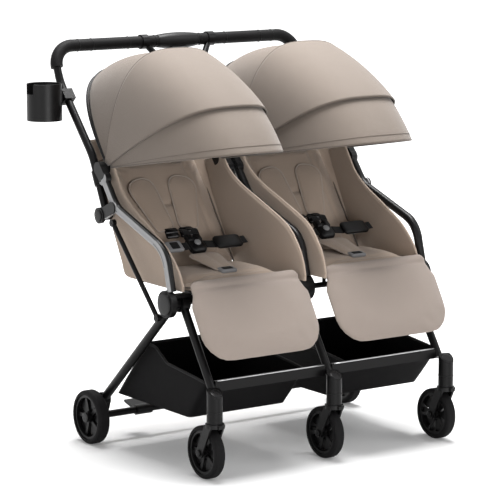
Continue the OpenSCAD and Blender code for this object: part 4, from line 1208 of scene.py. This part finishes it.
    def buckle(self, side, x):
        """A moulded buckle: a rounded body with two latch ears, and a domed button of rings on its face."""
        on = seat_board(x, *BUCKLE_AT, BUCKLE_LEAN)
        on.origin = on.world((0.0, BUCKLE_LEAD, 0.0))
        base = pad_body(on, outline(0.045, 0.051, (0.014, 0.010), 96), 0.0170, lip=0.55)
        ears = []
        for s in (-1.0, 1.0):
            ear = Board(on.world((s * 0.0125, 0.034, 0.006)), on.y, on.z)
            ears.append(block(ear, 0.017, 0.024, 0.004, 0.0125, 0.7))
        make(f"{side}_buckle_shell", join(base, *ears), "plastic", "chassis", [f"{side}_buckle"])
        turn = np.linspace(0.0, 2 * math.pi, 48, endpoint=False)
        r = np.array([0.0088, 0.0088, 0.0078, 0.0055, 0.0010])[:, None, None]
        z = np.array([-0.0035, 0.0022, 0.0036, 0.0042, 0.0044])[:, None, None]
        round_face = np.cos(turn)[None, :, None] * on.x + np.sin(turn)[None, :, None] * on.y
        cap = ring_solid(on.world((0.0, 0.026, 0.0168)) + r * round_face + z * on.z)
        button = f"{side}_buckle_button"
        make(f"{side}_buckle_cap", cap, "accent", button, [button])


def circle(axis, sides=48):
    """Points of the unit circle square to an axis."""
    a = np.array(Vector(axis).orthogonal().normalized())
    b = np.cross(axis, a)
    turn = np.linspace(0.0, 2 * math.pi, sides, endpoint=False)
    return np.cos(turn)[:, None] * a + np.sin(turn)[:, None] * b


def ring_at(centre, axis, radius, thick):
    """A thin ring about an axis."""
    return tube(np.asarray(centre) + radius * circle(axis), thick, 8, closed=True)


def turned_cap(centre, axis, radius, height, dome=0.35):
    """A turned cap: rings that close in over a dome, along the axis."""
    axis = np.asarray(axis, float) / np.linalg.norm(axis)
    s = np.array([1.0, 1.0, 0.95, 0.8, 0.5, 0.06])
    z = height * np.array([0.0, 1 - dome, 1 - 0.6 * dome, 1 - 0.25 * dome, 1 - 0.06 * dome, 1.0])
    rings = np.asarray(centre) + radius * s[:, None, None] * circle(axis)[None] + z[:, None, None] * axis
    return ring_solid(rings)


class STROLLER_OT_trim(bpy.types.Operator):
    """Add the moulded and turned details of the frame: rings, caps, lids, wheel webs and painted highlight strips on
    the bars
    """

    bl_idname = "stroller.trim"
    bl_label = "Frame trim"

    def execute(self, context):
        self.handle()
        self.hubs()
        self.casters()
        self.wheels()
        self.bars()
        return {"FINISHED"}

    def handle(self):
        """Rings on the grips."""
        places = [s * x for s in (-1.0, 1.0) for x in (0.30, 0.26, 0.15, 0.07)]
        rings = [ring_at((x, *HANDLE_BAR), (1, 0, 0), 0.0154, 0.0011) for x in places]
        make("grip_rings", join(*rings), "plastic", "handle")
        self.fold_shell()

    def fold_shell(self):
        """A boat-shaped shell on the fold housing: circles along the bar that swell as 1 - (x / half)^2, deeper
        below; and the cap of the fold button, a rounded block that stands below it."""
        half, bar = 0.062, 0.0162
        down = np.array([0.0, -math.cos(HANDLE_TILT), -math.sin(HANDLE_TILT)])
        front = np.cross(down, np.array([1.0, 0.0, 0.0]))
        x = np.linspace(-half, half, 33)[:, None]
        turn = np.linspace(0.0, 2.0 * math.pi, 48, endpoint=False)[None]
        swell = 1.0 - (x / half) ** 2
        low = (bar + 0.0045 * swell) * np.cos(turn) + 0.0015 * swell * np.clip(np.cos(turn), 0.0, 1.0)
        out = (bar + 0.0042 * swell) * np.sin(turn)
        centre = np.array([0.0, *HANDLE_BAR])
        rings = centre + x[..., None] * np.array([1.0, 0.0, 0.0]) + low[..., None] * down + out[..., None] * front
        make("fold_shell", ring_solid(rings), "plastic", "handle")
        board = Board(centre + 0.0185 * down, front, down)
        cap = block(board, 0.050, 0.015, 0.005, 0.0125, 0.75, -0.0075, steps=64)
        make("fold_button_cap", cap, "accent", "fold_button", ["fold_button"])

    def hubs(self):
        """A domed face in a thin ring on each outer hub, and a cap on each handle hinge."""
        for side, sign in SIDES:
            out = (sign, 0, 0)
            face = turned_cap((sign * HUB_FACE_X, *HUB), out, 0.027, 0.0045)
            make(f"{side}_hub_face", face, "plastic", "chassis")
            ring = ring_at((sign * HUB_FACE_X, *HUB), out, 0.030, 0.0012)
            make(f"{side}_hub_ring", ring, "tube", "chassis")
            cap = turned_cap((sign * HINGE_FACE_X, *HANDLE_PIVOT), out, 0.015, 0.003)
            make(f"{side}_hinge_cap", cap, "plastic", "chassis")

    def casters(self):
        """A seam ring and a lid on each caster housing, and caps on the axles."""
        lean = (0.0, -math.sin(HOUSING_SLOPE), math.cos(HOUSING_SLOPE))
        for name, x in CASTERS:
            seam = ring_at((x, -0.261, 0.168), (0, 0, 1), 0.0190, 0.0010)
            make(f"{name}_housing_seam", seam, "plastic", "chassis")
            caps = [turned_cap((x + s * 0.0228, *FRONT_AXLE), (s, 0, 0), 0.0085, 0.003) for s in (-1.0, 1.0)]
            make(f"{name}_axle_caps", join(*caps), "plastic", f"{name}_caster")
            lid = turned_cap((x, -0.2660, 0.2122), lean, 0.0135, 0.0020)
            make(f"{name}_housing_lid", lid, "satin", "chassis")
        for side, sign in SIDES:
            cap = turned_cap((sign * 0.411, *REAR_AXLE), (sign, 0, 0), 0.013, 0.003)
            make(f"{side}_rear_axle_cap", cap, "plastic", f"{side}_rear_wheel")

    def web(self, x, axle, thick=0.003):
        """Five plates between a rim's spokes: sectors of a ring, each a fan of rays by a run of arcs. The axle's
        height is the wheel's radius."""
        plates = []
        for i in range(5):
            fan = np.radians(72.0 * i + 36.0 + np.linspace(-19.0, 19.0, 14))
            r, turn = np.meshgrid(np.linspace(0.24, 0.75, 6) * axle[1], fan, indexing="ij")
            y, z = axle[0] + r * np.cos(turn), axle[1] + r * np.sin(turn)
            face = np.stack([np.full_like(r, x - thick / 2.0), y, z], axis=-1)
            plates.append(sheet_solid(face, face + np.array([thick, 0.0, 0.0])))
        return join(*plates)

    def wheels(self):
        """Webs in the five rims."""
        for name, x in CASTERS:
            make(f"{name}_front_web", self.web(x, FRONT_AXLE), "plastic", f"{name}_front_wheel")
        for side, sign in SIDES:
            web = self.web(sign * REAR_WHEEL_X, REAR_AXLE)
            make(f"{side}_rear_web", web, "plastic", f"{side}_rear_wheel")

    def bars(self):
        """A bright metal strip along the top of each front bar, a painted highlight on its rounded top edge."""
        edges = []
        for _, sign in SIDES:
            ends = np.linspace(0.016, 0.327, 12) * sign
            path = np.stack([ends, np.full(12, -0.2392), np.full(12, 0.2348)], axis=-1)
            edges.append(tube(path, 0.0014, 8))
        make("front_bar_highlight_strips", join(*edges), "metal", "chassis")


# Lamps: name, place, aim, size in metres and power in watts
LAMPS = (
    ("key_lamp", (2.3, -2.4, 3.1), (0.0, 0.0, 0.45), 1.9, 30.0),
    ("top_lamp", (0.3, 0.5, 3.6), (0.0, 0.0, 0.4), 2.2, 258.0),
    ("side_lamp", (-3.6, -0.9, 1.5), (0.0, 0.0, 0.5), 0.9, 12.0),
    ("fill_lamp", (-0.9, -3.9, 0.50), (0.0, 0.1, 0.5), 1.6, 62.0),
)
SKY_LEVEL = 0.46
FLOOR_REACH = 30.0
CAMERA_AIM = Vector((0.0, 0.096, 0.4711))
CAMERA_TURN = math.radians(-34.888)
CAMERA_RISE = math.radians(9.4115)
CAMERA_AWAY = 6.087
CAMERA_FOCUS = 2408.8 / 500.0  # focal length in widths of the image
SENSOR = 36.0


class STROLLER_OT_stage(bpy.types.Operator):
    """Set the studio: a pale floor, soft lamps, an even sky and the camera"""

    bl_idname = "stroller.stage"
    bl_label = "Stage"

    def execute(self, context):
        scene = context.scene
        scene.view_settings.view_transform = "Standard"
        self.floor()
        self.sky(scene)
        for lamp in LAMPS:
            self.lamp(*lamp)
        self.camera(scene)
        return {"FINISHED"}

    def floor(self):
        """A wide square with a glow that only the camera, gloss and glass see, and that rises to white away from the
        object."""
        mesh = bpy.data.meshes.new("studio_floor")
        r = FLOOR_REACH
        mesh.from_pydata([(-r, -r, 0), (r, -r, 0), (r, r, 0), (-r, r, 0)], [], [(0, 1, 2, 3)])
        finish = Finish("studio_floor", colours().floor, 0.9, Specular_IOR_Level=0.1, Emission_Strength=1.0)
        x, y, z = finish.axes(1.0)
        away = (x * x + y * y).root()
        level = ((away - 0.9) * 0.5).clamp() * 0.90 + 0.10
        finish.feed(finish.shader.inputs["Emission Color"], level * finish.seen())
        mesh.materials.append(finish.material)
        add("studio_floor", mesh)

    def sky(self, scene):
        """An even grey that lights the object and is seen as white."""
        world = bpy.data.worlds.new("studio_sky")
        world.use_nodes = True
        scene.world = world
        nodes = Nodes(world.node_tree)
        shade = {6: (SKY_LEVEL, SKY_LEVEL, SKY_LEVEL, 1.0), 7: (1.0, 1.0, 1.0, 1.0)}
        colour = nodes.node("Mix", {"data_type": "RGBA"}, {0: nodes.seen(), **shade}, out=2)
        nodes.feed(world.node_tree.nodes["Background"].inputs["Color"], colour)

    def lamp(self, name, place, aim, size, power):
        """A soft round lamp that points at its aim."""
        data = bpy.data.lights.new(name, "AREA")
        data.shape = "DISK"
        data.size = size
        data.energy = power
        lamp = add(name, data)
        lamp.location = place
        lamp.rotation_euler = (Vector(aim) - Vector(place)).to_track_quat("-Z", "Y").to_euler()

    def camera(self, scene):
        """The photograph's camera, which was fitted to it: it looks at its aim from a turn, a rise and a distance."""
        turn, rise = CAMERA_TURN, CAMERA_RISE
        back = Vector((math.sin(turn) * math.cos(rise), -math.cos(turn) * math.cos(rise), math.sin(rise)))
        data = bpy.data.cameras.new("photo_camera")
        data.sensor_width = SENSOR
        data.lens = CAMERA_FOCUS * SENSOR
        camera = add("photo_camera", data)
        camera.location = CAMERA_AIM + back * CAMERA_AWAY
        camera.rotation_euler = (-back).to_track_quat("-Z", "Y").to_euler()
        scene.camera = camera


STEPS = (
    STROLLER_OT_finishes,
    STROLLER_OT_stage,
    STROLLER_OT_canopies,
    STROLLER_OT_seats,
    STROLLER_OT_wings,
    STROLLER_OT_baskets,
    STROLLER_OT_harness,
    STROLLER_OT_trim,
)


class STROLLER_PT_panel(bpy.types.Panel):
    """Lists the steps that dress the stroller"""

    bl_label = "Double stroller"
    bl_idname = "STROLLER_PT_panel"
    bl_space_type = "VIEW_3D"
    bl_region_type = "UI"
    bl_category = "Stroller"

    def draw(self, context):
        for step in STEPS:
            self.layout.operator(step.bl_idname)
        for group in (context.scene.stroller_sizes, context.scene.stroller_colours):
            box = self.layout.box()
            for key in group.bl_rna.properties.keys():
                if key not in {"rna_type", "name"}:
                    box.prop(group, key)


CLASSES = (StrollerSizes, StrollerColours, *STEPS, STROLLER_PT_panel)


def register():
    for part in CLASSES:
        bpy.utils.register_class(part)
    bpy.types.Scene.stroller_sizes = PointerProperty(type=StrollerSizes)
    bpy.types.Scene.stroller_colours = PointerProperty(type=StrollerColours)


def unregister():
    del bpy.types.Scene.stroller_colours
    del bpy.types.Scene.stroller_sizes
    for part in reversed(CLASSES):
        bpy.utils.unregister_class(part)


def main():
    register()
    for step in STEPS:
        group, name = step.bl_idname.split(".")
        getattr(getattr(bpy.ops, group), name)()


if __name__ == "__main__":
    main()
